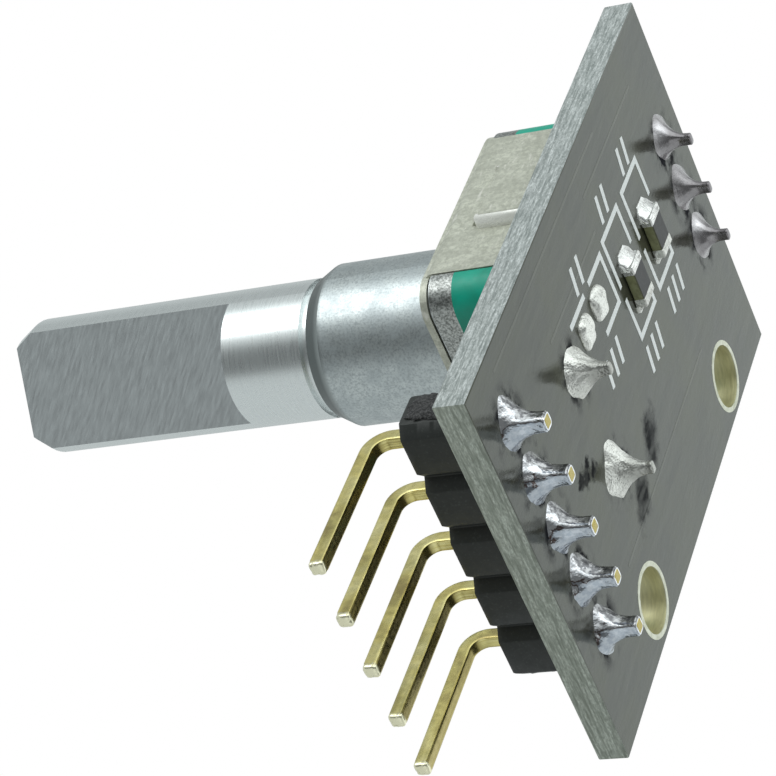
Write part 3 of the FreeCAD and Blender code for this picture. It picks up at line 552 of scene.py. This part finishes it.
def shaft_metal():
    """Bright turned bar; the milled flat has coarse slanted cutter marks and is duller."""
    made = Finish("shaft_metal", metallic=1.0)
    flat_angle = math.radians(-60)
    flat = Vector((math.cos(flat_angle), math.sin(flat_angle), 0))
    level = made.coordinate(2)
    faces = made.span(made.along(flat), 0.995, 0.999)
    on_flat = made.math("MULTIPLY", faces, made.span(level, FLAT_START - 0.02, FLAT_START))
    across = Vector((-flat.y, flat.x, 0))
    slant = (across * 0.86 - Vector((0, 0, 0.50))).normalized()
    along_cut = (across * 0.50 + Vector((0, 0, 0.86))).normalized()
    stripe, length = made.dot(made.place, slant), made.dot(made.place, along_cut)
    cut = made.add("CombineXYZ", {0: length, 1: made.math("MULTIPLY", stripe, 0.12), 2: 0.0})
    cutter = made.grain(7.5, 6.0, roughness=0.7, where=cut)
    lathe = made.grain(9.0, 4.0, (0.08, 0.08, 1.5))
    specks = made.grain(14.0, 4.0)
    turned = made.blend(made.span(specks, 0.5, 0.8), (0.86, 0.90, 0.90), (0.72, 0.76, 0.77))
    milled = made.blend(made.span(cutter, 0.35, 0.68), (0.58, 0.61, 0.62), (0.71, 0.75, 0.76))
    made.colour(made.blend(on_flat, turned, milled))
    smooth = made.span(lathe, 0.3, 0.7, 0.24, 0.34)
    dull = made.span(cutter, 0.35, 0.65, 0.42, 0.55)
    made.roughness(made.add("Mix", {0: on_flat, 2: smooth, 3: dull}))
    height = made.add("Mix", {0: on_flat, 2: made.math("MULTIPLY", lathe, 0.35), 3: cutter})
    made.relief(height, 0.02, 0.5)
    return made.material


def tinned_strip():
    """Tinned copper strip, stained in places."""
    made = Finish("tinned_strip", metallic=1.0)
    stain = made.grain(2.5, 4.0)
    made.mottle(stain, 0.4, 0.7, (0.78, 0.77, 0.72), (0.60, 0.58, 0.50))
    made.polish(stain, 0.22, 0.38)
    made.relief(made.grain(16.0, 3.0), 0.006, 0.4)
    return made.material


def spring_sheet():
    """Rolled spring steel."""
    made = Finish("spring_sheet", metallic=1.0)
    rolled = made.grain(8.0, 3.0, (1.0, 0.15, 1.0))
    made.mottle(rolled, 0.3, 0.7, (0.66, 0.66, 0.64), (0.80, 0.80, 0.78))
    made.polish(rolled, 0.20, 0.32)
    made.relief(rolled, 0.006, 0.4)
    return made.material


def natural_moulding():
    """Unpigmented plastic of the parts inside."""
    made = Finish("natural_moulding", subsurface_weight=0.1)
    flow = made.grain(1.2, 3.0)
    made.mottle(flow, 0.35, 0.7, (0.74, 0.72, 0.64), (0.62, 0.60, 0.52))
    made.polish(made.grain(6.0), 0.34, 0.46)
    made.relief(made.grain(26.0, 2.0), 0.005, 0.4)
    return made.material


def chip_ceramic():
    """Black glazed face away from the board, olive ceramic on the sides."""
    made = Finish("chip_ceramic")
    face = made.span(made.along((0, 0, -1)), 0.5, 0.8)
    mottled = made.grain(6.0, 4.0)
    side = made.blend(made.span(mottled, 0.35, 0.7), (0.32, 0.33, 0.17), (0.19, 0.195, 0.10))
    glaze = made.blend(made.span(mottled, 0.5, 0.8), (0.016, 0.016, 0.016), (0.050, 0.049, 0.046))
    made.colour(made.blend(face, side, glaze))
    made.specular(made.span(face, 0.0, 1.0, 0.5, 0.32))
    made.polish(mottled, 0.28, 0.44)
    made.relief(made.grain(14.0, 3.0), 0.008, 0.5)
    return made.material


mask = solder_mask("solder_mask", (0.040, 0.040, 0.031), (0.062, 0.062, 0.047), (0.062, 0.063, 0.036))
raised_mask = solder_mask(
    "raised_mask", (0.075, 0.075, 0.060), (0.105, 0.105, 0.085), (0.10, 0.10, 0.075)
)
solder = bright_solder()
frosted = dull_solder(
    "frosted_solder", (0.43, 0.41, 0.42), (0.27, 0.25, 0.26), 0.20, 0.002, 0.04, PAINTED_HIGHLIGHTS
)
smooth_solder = dull_solder("smooth_solder", (0.97, 0.97, 0.95), (0.66, 0.65, 0.62), 0.20, 0.004, 0.05)
grainy = dull_solder("grainy_solder", (0.95, 0.95, 0.90), (0.42, 0.42, 0.39), 0.34, 0.03, 0.10)

plastic = black_moulding()
strip, sprung, natural = tinned_strip(), spring_sheet(), natural_moulding()

CAD_FINISHES = {
    "switch_base": plastic,
    "encoder_housing": green_moulding(),
    "frame": sheet_steel(),
    "bushing_housing": casting(),
    "shaft": shaft_metal(),
}
for finish, names in (
    (strip, ("encoder_terminal_a", "encoder_terminal_common", "encoder_terminal_b")),
    (strip, ("switch_terminal_1", "switch_terminal_2", "code_disc")),
    (sprung, ("retaining_ring", "detent_spring")),
    (natural, ("rotor", "plunger")),
):
    for name in names:
        CAD_FINISHES[name] = finish


# ---- mesh helpers ----


def piece(name, mesh, finish, replaced=()):
    """A mesh as a visible piece with one finish, which may stand for CAD nodes."""
    mesh.materials.append(finish)
    made = bpy.data.objects.new(name, mesh)
    bpy.context.scene.collection.objects.link(made)
    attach(made, "root")
    if replaced:
        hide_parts(*replaced)
    return made


def smooth(mesh, angle=35):
    """Smooth shading with sharp edges kept."""
    for face in mesh.polygons:
        face.use_smooth = True
    mesh.set_sharp_from_angle(angle=math.radians(angle))


def circle_points(centre, radius, count, clockwise=False):
    """A circle as an outline; clockwise makes it a hole of a plate."""
    sign = -1 if clockwise else 1
    angles = [sign * TURN * step / count for step in range(count)]
    return [(centre[0] + radius * math.cos(a), centre[1] + radius * math.sin(a)) for a in angles]


def plate(name, outlines, low, high, edge):
    """A flat plate with rounded edges: outlines turning left are solid, turning right are holes."""
    curve = bpy.data.curves.new(name + "_outline", "CURVE")
    curve.dimensions = "2D"
    curve.fill_mode = "BOTH"
    curve.extrude = (high - low) / 2 - edge
    curve.bevel_depth = edge
    curve.bevel_resolution = 1
    curve.offset = -edge
    for points in outlines:
        spline = curve.splines.new("POLY")
        spline.points.add(len(points) - 1)
        for point, (x, y) in zip(spline.points, points):
            point.co = (x, y, 0, 1)
        spline.use_cyclic_u = True
    holder = bpy.data.objects.new(name + "_outline", curve)
    bpy.context.scene.collection.objects.link(holder)
    ready = holder.evaluated_get(bpy.context.evaluated_depsgraph_get())
    mesh = bpy.data.meshes.new_from_object(ready)
    mesh.transform(Matrix.Translation((0, 0, (low + high) / 2)))
    bpy.data.objects.remove(holder)
    bpy.data.curves.remove(curve)
    shape = bmesh.new()
    shape.from_mesh(mesh)
    bmesh.ops.remove_doubles(shape, verts=shape.verts, dist=1e-7)
    shape.to_mesh(mesh)
    shape.free()
    mesh.name = name
    smooth(mesh)
    for face in mesh.polygons:
        if abs(face.normal.z) > 0.99:
            face.use_smooth = False
    return mesh


def stroke(points, width):
    """The outline of a line of a width through points, with mitred corners and square ends."""
    left, right = [], []
    for index, point in enumerate(points):
        before = (point - points[index - 1]).normalized() if index else None
        after = (points[index + 1] - point).normalized() if index < len(points) - 1 else None
        ahead = ((before or after) + (after or before)).normalized()
        side = Vector((-ahead.y, ahead.x))
        straight = before or after
        reach = width / 2 / max(0.3, side.dot(Vector((-straight.y, straight.x))))
        left.append(point + side * reach)
        right.append(point - side * reach)
    return [tuple(point) for point in right + left[::-1]]


def loft(name, rings, sharp=35):
    """A closed skin over rings with the same number of points, capped at both ends."""
    shape = bmesh.new()
    rows = [[shape.verts.new(point) for point in ring] for ring in rings]
    for low, high in zip(rows, rows[1:]):
        for index in range(len(low)):
            following = (index + 1) % len(low)
            shape.faces.new((low[index], low[following], high[following], high[index]))
    shape.faces.new(rows[0][::-1])
    shape.faces.new(rows[-1])
    bmesh.ops.recalc_face_normals(shape, faces=shape.faces)
    mesh = bpy.data.meshes.new(name)
    shape.to_mesh(mesh)
    shape.free()
    smooth(mesh, sharp)
    return mesh


def rounded(angle, half_x, half_y, squareness):
    """A point of a rounded rectangle: squareness 2 is an ellipse, 8 is nearly square."""
    x, y = math.cos(angle), math.sin(angle)
    reach = (abs(x) ** squareness + abs(y) ** squareness) ** (-1 / squareness)
    return Vector((x * reach * half_x, y * reach * half_y))


def wobble(place, size, seed):
    """Smooth noise from -1 to 1 that changes over a size in millimetres."""
    return noise.noise(Vector(place) * (1000 / size) + Vector((seed * 7.3, seed * 3.1, seed * 5.7)))


# ---- carrier board ----

MOUNT_HOLE = mm(1.34)
PIN_HOLE = mm(0.50)
BOARD_EDGE = mm(0.07)
RING_OUTER, RING_INNER = mm(1.57), mm(1.35)


def mounting_hole_centres():
    """The two holes of the record's mounting_holes mount."""
    for mount in frame["record"]["mounts"]:
        if mount["name"] == "mounting_holes":
            centre = Vector(mount["pos_m"])
            half = mm(mount["dims"]["spacing_y_mm"]) / 2
            return [Vector((centre.x, centre.y + half)), Vector((centre.x, centre.y - half))]


def board():
    """The board with its holes, and a plated ring round each mounting hole on both faces."""
    left, right, near, far = board_low.x, board_high.x, board_low.y, board_high.y
    corners = [(left, near), (right, near), (right, far), (left, far)]
    holes = [circle_points(centre, MOUNT_HOLE, 96, True) for centre in mounting_hole_centres()]
    holes += [circle_points(centre, PIN_HOLE, 32, True) for centre in joint_centres()]
    mesh = plate("board", [corners] + holes, board_low.z, board_high.z, BOARD_EDGE)
    piece("board", mesh, mask, ["circuit_board"])
    for material in (laminate(), hole_plating()):
        mesh.materials.append(material)
    for face in mesh.polygons:
        upright = abs(face.normal.z) < 0.5
        inside = all(
            (board_low[axis] + 3 * BOARD_EDGE) < face.center[axis] < (board_high[axis] - 3 * BOARD_EDGE)
            for axis in (0, 1)
        )
        face.material_index = (2 if inside else 1) if upright else 0
    ring_metal = pad_metal()
    for index, centre in enumerate(mounting_hole_centres()):
        for side, level in (("rear", board_low.z - mm(0.012)), ("front", board_high.z - mm(0.018))):
            outlines = [circle_points(centre, RING_OUTER, 96)]
            outlines.append(circle_points(centre, RING_INNER, 96, True))
            name = "%s_hole_ring_%d" % (side, index + 1)
            ring = plate(name, outlines, level, level + mm(0.03), mm(0.01))
            piece(name, ring, ring_metal)


board()


# ---- solder joints ----


def joint(name, finish, seed, tip, post, power, lean, foot_y, squareness, rough, blunt=0.12):
    """A hollow cone of solder on a pad that climbs a lead as far as the level tip.

    post is the lead's coated half size, lean the foot's offset and blunt the share of post that is
    left at the tip. The foot is pointed along X.
    """
    low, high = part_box(name)
    lead = ((low + high) / 2).to_2d()
    foot_x = (high.x - low.x) / 2
    foot_y *= foot_x
    offset, post = mm(*lean), mm(*post)
    count, steps = 96, 48
    rings = []
    for step in range(steps + 1):
        rise = 1 - (1 - step / steps) ** 1.4
        flare = (1 - rise) ** power
        centre = lead + offset * (1 - rise) ** 2
        level = REAR + (tip - REAR) * rise
        closing = math.sqrt(max(0.0, 1 - ((max(rise, 0.95) - 0.95) / 0.05) ** 2))
        half_x = (post.x + (foot_x - post.x) * flare) * max(closing, blunt)
        half_y = (post.y + (foot_y - post.y) * flare) * max(closing, blunt)
        square = squareness + (1.55 - squareness) * flare ** 0.5
        ring = []
        for index in range(count):
            angle = TURN * index / count
            side = rounded(angle, half_x, half_y, square)
            place = (math.cos(angle) * 0.001, math.sin(angle) * 0.001, level)
            lumps = wobble(place, 0.9, seed) + 0.35 * wobble(place, 0.3, seed + 40)
            side *= 1 + rough * lumps * min(1.0, 0.35 + 3 * flare)
            ring.append((centre.x + side.x, centre.y + side.y, level))
        rings.append(ring)
    mesh = loft(name + "_visual", rings, 50)
    piece(name + "_visual", mesh, finish, [name])


# The joints' feet. Header: lean along X in millimetres, and width along Y as a share of that along X.
# Encoder and switch: name, lean along X and Y, and for the switch the power of the flare.
HEADER_FEET = ((0.05, 0.88), (-0.02, 0.92), (0.04, 0.86), (0.0, 0.95), (-0.05, 0.90))
ENCODER_FEET = (("a", (0.06, 0.16)), ("common", (0.16, 0.06)), ("b", (0.26, 0.10)))
SWITCH_FEET = ((1, (0.30, -0.22), 2.8), (2, (-0.02, 0.0), 2.4))


def solder_joints():
    """The header's joints stop short of the pins' cut ends; the others cover their terminals."""
    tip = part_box("header_pin_1")[0].z + mm(0.01)
    for index, (lean, wide) in enumerate(HEADER_FEET):
        name = "header_solder_%d" % (index + 1)
        joint(name, solder, index + 1, tip, (0.345, 0.345), 3.4, (lean, 0.03), wide, 3.4, 0.10, 0.86)
    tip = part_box("encoder_terminal_a")[0].z - mm(0.07)
    for index, (suffix, lean) in enumerate(ENCODER_FEET):
        name = "encoder_solder_" + suffix
        joint(name, frosted, index + 11, tip, (0.25, 0.17), 3.5, lean, 0.92, 3.2, 0.07)
    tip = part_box("switch_terminal_1")[0].z - mm(0.05)
    for number, lean, power in SWITCH_FEET:
        name = "switch_solder_%d" % number
        joint(name, grainy, number + 21, tip, (0.26, 0.18), power, lean, 0.95, 3.2, 0.16)


solder_joints()


# ---- header strip ----


def broken_plastic():
    """Torn black plastic at the ends of the strip: matt, with pale stress marks."""
    made = Finish("broken_plastic", roughness=0.62)
    tears = made.grain(11.0, 5.0, None, 0.7)
    made.mottle(tears, 0.46, 0.70, (0.008, 0.008, 0.009), (0.13, 0.13, 0.13))
    made.relief(tears, 0.05, 0.8)
    return made.material


def header_strip():
    """Five eight-sided blocks in one strip: a torn lump at one end, a torn scar at the other."""
    low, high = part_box("header_body")
    reach, corner, soft, count = mm(0.30), mm(0.45), mm(0.03), 96
    first, last = low.x + reach, high.x - reach
    middle_y, half_y = (low.y + high.y) / 2, (high.y - low.y) / 2
    pitch = (last - first) / HEADER_PINS
    tall = high.z - low.z
    stations = []

    def ring(x, half, height, squareness, torn=0.0, seed=0):
        points = []
        for index in range(count):
            side = rounded(TURN * index / count, half, height / 2, squareness)
            y, z = middle_y + side.x, low.z + height / 2 + side.y
            place = (x, y, z)
            lump = wobble(place, 0.45, seed) + 0.7 * wobble(place, 0.16, seed + 3)
            pull = 1 + 0.10 * torn * lump
            z = low.z + max(0.0, (z - low.z) * pull)
            along = mm(0.06) * torn * wobble(place, 0.22, seed + 7)
            points.append((x + along, middle_y + side.x * pull, min(z, high.z)))
        stations.append(points)

    for share in (0.25, 0.55, 0.75, 0.90, 0.97, 1.0):
        torn = 1.0 if share < 1 else 0.0
        grow = math.sqrt(1 - (1 - share) ** 2)
        ring(first - mm(0.14) * (1 - share), mm(0.76) * grow, tall * (0.90 + 0.08 * grow), 6, torn, 5)
    for block in range(HEADER_PINS):
        start, end = first + block * pitch, first + (block + 1) * pitch
        narrow = half_y - corner
        for x, half in (
            (start + (soft if block else 0), narrow + (soft if block else 0)),
            (start + corner - soft, half_y - soft),
            (start + corner + soft, half_y),
            (end - corner - soft, half_y),
            (end - corner + soft, half_y - soft),
            (end - soft, narrow + soft),
        ):
            ring(x, half, tall, 18)
    for share in (0.0, 0.12, 0.30, 0.50, 0.68, 0.82, 0.93, 0.99):
        shrink = math.sqrt(1 - share ** 3)
        half, height = mm(0.74) * max(shrink, 0.3), mm(2.28) * max(shrink, 0.5)
        ring(last + mm(0.24) * share, half, height, 3.4, 1.3 if share else 0.3, 9)
    mesh = loft("header_strip", stations, 30)
    piece("header_strip", mesh, plastic, ["header_body"])
    mesh.materials.append(broken_plastic())
    for face in mesh.polygons:
        torn = not first - mm(0.01) < face.center.x < last + mm(0.01)
        face.material_index = 1 if torn else 0


header_strip()


# ---- header pins ----

PIN_BEND = mm(0.82)


def header_pin(node, wire):
    """Drawn square wire bent towards -Y, with a torn and rounded end on the arm."""
    low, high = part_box(node)
    half, count = (high.x - low.x) / 2, 48
    middle_x, leg_y, arm_z = (low.x + high.x) / 2, high.y - half, high.z - half
    foot = Vector((leg_y, low.z))
    path = [(foot, 0.0, 0.78), (foot + mm(0, 0.06), 0.0, 0.96), (foot + mm(0, 0.25), 0.0, 1.0)]
    path.append((Vector((leg_y, arm_z - PIN_BEND)), 0.0, 1.0))
    corner = Vector((leg_y - PIN_BEND, arm_z - PIN_BEND))
    for step in range(1, 12):
        turn = math.pi / 2 * step / 12
        path.append((corner + PIN_BEND * Vector((math.cos(turn), math.sin(turn))), turn, 1.0))
    path.append((Vector((leg_y - PIN_BEND, arm_z)), math.pi / 2, 1.0))
    for back, scale in (
        (0.30, 1.0), (0.20, 1.05), (0.11, 1.06), (0.05, 0.98), (0.02, 0.82), (0.0, 0.56),
    ):
        path.append((Vector((low.y + mm(back), arm_z)), math.pi / 2, scale))
    rings = []
    for centre, turn, scale in path:
        ring = []
        at_end = turn > 1.5 and scale != 1.0
        for index in range(count):
            side = rounded(TURN * index / count, half, half, 5 if at_end else 11)
            torn = wobble((middle_x + side.x, 0, side.y), 0.20, 61) if at_end else 0.0
            side *= scale * (1 + 0.10 * torn)
            y = centre.x + math.cos(turn) * side.y + mm(0.05) * abs(torn) * math.sin(turn)
            ring.append((middle_x + side.x, y, centre.y + math.sin(turn) * side.y))
        rings.append(ring)
    mesh = loft(node + "_visual", rings, 50)
    piece(mesh.name, mesh, wire, [node])


gold_wire = gold()
for index in range(HEADER_PINS):
    header_pin("header_pin_%d" % (index + 1), gold_wire)


# ---- lugs of the frame ----


def painted_lit_steel():
    """Sheet with a painted highlight: its near-white colour stands in for the light falling on it."""
    made = Finish("painted_lit_steel", metallic=0.2)
    scuffs = made.grain(6.0, 5.0, (1.0, 1.0, 0.5))
    made.mottle(scuffs, 0.45, 0.75, (1.0, 1.0, 0.94), (0.84, 0.84, 0.78))
    made.polish(scuffs, 0.22, 0.36)
    made.relief(scuffs, 0.02, 0.4)
    return made.material


def lug_shoulders(painted_lit_finish):
    """Sloping shoulders where each raised lug runs back into its wall."""
    low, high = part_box("frame")
    wall, half_y = mm(6.10), mm(1.65)
    out_to, top = high.x, low.z + mm(3.10)
    for side_x, x_name in ((1, "right"), (-1, "left")):
        for side_y, y_name in ((1, "upper"), (-1, "lower")):
            rings = []
            for step in range(13):
                share = step / 12
                turn = share * math.pi / 2
                x = wall - mm(0.05) + (out_to - wall + mm(0.04)) * math.cos(turn)
                y = half_y - mm(0.05) + mm(0.34) * math.sin(turn)
                droop = mm(0.30) * (1 - math.cos(turn))
                rings.append(
                    [
                        (side_x * x, side_y * y, low.z + mm(0.02)),
                        (side_x * x, side_y * y, top - droop - mm(0.12)),
                        (side_x * (x - mm(0.12)), side_y * y, top - droop),
                        (side_x * (wall - mm(0.06)), side_y * y, top - droop),
                        (side_x * (wall - mm(0.06)), side_y * y, low.z + mm(0.02)),
                    ]
                )
            mesh = loft("lug_shoulder_%s_%s" % (x_name, y_name), rings, 50)
            # The shoulders get the near-white painted highlight finish.
            piece(mesh.name, mesh, painted_lit_finish)


lug_shoulders(painted_lit_steel())


# ---- chip resistors ----


def slab(name, low, high, edge):
    """A block with rounded upright corners and rounded upper and lower edges."""
    centre, half = (low + high) / 2, (high - low) / 2
    corner = min(half.x, half.y) * 0.22
    rings = []
    for inset, level in ((edge, -half.z), (0, -half.z + edge), (0, half.z - edge), (edge, half.z)):
        ring = []
        for quarter in range(4):
            sx = (1, -1, -1, 1)[quarter]
            sy = (1, 1, -1, -1)[quarter]
            for step in range(6):
                angle = math.pi / 2 * (quarter + step / 5)
                x = sx * (half.x - corner) + (corner - inset) * math.cos(angle)
                y = sy * (half.y - corner) + (corner - inset) * math.sin(angle)
                ring.append((centre.x + x, centre.y + y, centre.z + level))
        rings.append(ring)
    return loft(name, rings)


def pillow(name, centre, half_x, half_y, level, height, squareness, rough, seed):
    """A puddle of solder on a pad, standing from a level towards -Z."""
    rings = []
    for step in range(13):
        share = step / 12
        spread = math.cos(share * math.pi / 2) ** 0.6 if step < 12 else 0.05
        ring = []
        for index in range(48):
            angle = TURN * index / 48
            side = rounded(angle, half_x * spread, half_y * spread, squareness)
            place = (centre.x + side.x, centre.y + side.y, 0)
            lift = height * math.sin(share * math.pi / 2) * (1 + rough * wobble(place, 0.6, seed))
            ring.append((place[0], place[1], level - lift))
        rings.append(ring)
    return loft(name, rings, 60)


END_FINISHES = {"left": grainy, "right": smooth_solder}


def chip(number, ceramic):
    """A chip resistor: its body, two end caps and the solder slope outside each cap."""
    body = "resistor_%d_body" % number
    caps = "resistor_%d_caps" % number
    ends = "resistor_%d_solder" % number
    low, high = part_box(body)
    mesh = slab(body + "_visual", low, high, mm(0.04))
    piece(mesh.name, mesh, ceramic, [body])
    cap_low, cap_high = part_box(caps)
    cap = mm(0.40)
    for side, start in (("left", cap_low.x), ("right", cap_high.x - cap)):
        first = Vector((start, cap_low.y, cap_low.z))
        last = Vector((start + cap, cap_high.y, cap_high.z))
        name = "resistor_%d_cap_%s" % (number, side)
        mesh = slab(name, first, last, mm(0.05))
        piece(name, mesh, END_FINISHES[side], [caps])
    end_low, end_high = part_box(ends)
    for side, inner, outer in (
        ("left", cap_low.x + mm(0.10), end_low.x),
        ("right", cap_high.x - mm(0.32), end_high.x + mm(0.10)),
    ):
        name = "resistor_%d_fillet_%s" % (number, side)
        height = mm(0.44) if side == "left" else mm(0.60)
        mesh = fillet(name, inner, outer, (cap_low + cap_high) / 2, height, number)
        piece(name, mesh, END_FINISHES[side], [ends])


def fillet(name, inner, outer, centre, tall, seed):
    """Solder that climbs from the pad's end up the cap in a hollow slope."""
    rings = []
    for step in range(21):
        share = step / 20
        x = outer + (inner - outer) * share
        closing = math.sqrt(max(0.0, 1 - (max(share - 0.8, 0.0) / 0.2) ** 2))
        height = tall * (0.06 + 0.94 * min(1.0, share / 0.8) ** 1.5) * max(closing, 0.1)
        wide = mm(0.68) * min(1.0, 0.55 + 1.2 * share) * max(closing, 0.3)
        wide *= 1 + 0.08 * wobble((x, 0, 0), 0.3, seed)
        ring = []
        for index in range(24):
            angle = math.pi * index / 23
            y = -math.cos(angle) * wide
            z = abs(math.sin(angle)) ** 0.45 * height
            ring.append((x, centre.y + y, REAR - z))
        rings.append(ring)
    return loft(name, rings, 50)


def empty_pads():
    """A puddle of solder on each pad of the empty resistor place."""
    low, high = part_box("empty_pad_solder")
    half = (high.x - low.x) / 2
    for label, at_y, tall, seed in (
        ("upper", high.y - half, mm(0.30), 41),
        ("lower", low.y + half, mm(0.24), 42),
    ):
        name = "empty_pad_%s_solder" % label
        centre = Vector(((low.x + high.x) / 2, at_y, 0))
        mesh = pillow(name, centre, half * 1.12, half * 1.08, REAR, tall, 3.2, 0.6, seed)
        piece(name, mesh, grainy, ["empty_pad_solder"])


chip_finish = chip_ceramic()
for number in (2, 3):
    chip(number, chip_finish)
empty_pads()


# ---- snap dome ----


def snap_dome():
    """The dome as a piece of its own, with a mesh of its own."""
    node = nodes["snap_dome"]
    mesh = node.data.copy()
    mesh.transform(node.matrix_world)
    mesh.name = "snap_dome_visual"
    mesh.materials.clear()
    made = piece("snap_dome_visual", mesh, sprung, ["snap_dome"])
    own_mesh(made)


snap_dome()


# ---- ink and traces on the rear face ----

OUTLINE_WIDTH, BAR_WIDTH, TRACE_WIDTH = mm(0.25), mm(0.28), mm(0.13)
# Tracks along Y: x, start and end.
TRACES = ((-5.35, -9.7, 3.8), (4.65, -8.2, -1.2), (6.15, -1.0, 6.8), (7.2, -13.0, 2.0))
# The middle of the two bars and of the three bars at each resistor place.
BAR_PLACES = (
    (1, mm(4.7, -4.1), mm(0.3, -4.0)),
    (2, mm(4.9, 0.3), mm(-2.0, -0.2)),
    (3, mm(4.8, 3.7), mm(-2.0, 3.7)),
)
ink = silkscreen()


def traces():
    """Copper tracks that stand up faintly under the mask on the rear face."""
    for index, (x, start, end) in enumerate(TRACES):
        line = stroke([mm(x, start), mm(x, end)], TRACE_WIDTH)
        mesh = plate("trace_%d" % (index + 1), [line], REAR - mm(0.006), REAR + mm(0.02), mm(0.004))
        piece(mesh.name, mesh, raised_mask)


def inked(name, lines, width):
    """White lines printed on the rear face, each through its own points."""
    outlines = [stroke([Vector(point) for point in line], width) for line in lines]
    mesh = plate(name, outlines, REAR - mm(0.014), REAR + mm(0.01), mm(0.004))
    piece(name, mesh, ink)


def fitted_outline(number):
    """The printed outline of a fitted resistor: two brackets, open where the chip sits."""
    centre = middle("resistor_%d_body" % number)
    near, far = centre.y - mm(1.20), centre.y + mm(1.20)
    top, bottom = centre.x + mm(2.80), centre.x - mm(2.02)
    upper = [(top - mm(1.80), far), (top, far), (top, near), (top - mm(2.30), near)]
    lower = [(bottom + mm(1.95), near), (bottom, near), (bottom, far), (bottom + mm(0.95), far)]
    inked("ink_box_%d" % number, [upper, lower], OUTLINE_WIDTH)


def empty_outline():
    """What shows of the outline at the empty place: one end and a piece of a side."""
    centre = middle("empty_pad_solder")
    top, bottom, inner = centre.x + mm(1.0), centre.x - mm(1.33), centre.y + mm(2.70)
    end = [(top, inner - mm(1.9)), (top, inner), (bottom, inner), (bottom, inner - mm(2.1))]
    side = [(top, inner - mm(2.6)), (top, inner - mm(4.7))]
    inked("ink_box_empty", [end, side], OUTLINE_WIDTH)


def marks(name, middle_bar, bars):
    """Plain bars where the board carries printed words: they stand for text that is left out."""
    pitch, half, slant = mm(0.80), mm(1.15) / 2, mm(0.12)
    first = middle_bar.y - pitch * (bars - 1) / 2
    lines = []
    for at in (first + index * pitch for index in range(bars)):
        lines.append([(middle_bar.x - half, at - slant), (middle_bar.x + half, at + slant)])
    inked(name, lines, BAR_WIDTH)


traces()
for number in (2, 3):
    fitted_outline(number)
empty_outline()
for number, place, value in BAR_PLACES:
    marks("ink_mark_place_%d" % number, place, 2)
    marks("ink_mark_value_%d" % number, value, 3)


# ---- finishes of the CAD nodes ----


def finish_cad_nodes():
    """Every CAD node that shows gets its finish, and a fine rounding on its sharp edges."""
    for name, material in CAD_FINISHES.items():
        node = nodes[name]
        node.data.materials.clear()
        node.data.materials.append(material)
        rounding = node.modifiers.new("edge_rounding", "BEVEL")
        rounding.width = mm(0.03)
        rounding.segments = 2
        rounding.limit_method = "ANGLE"
        rounding.angle_limit = math.radians(40)
        rounding.harden_normals = True


finish_cad_nodes()
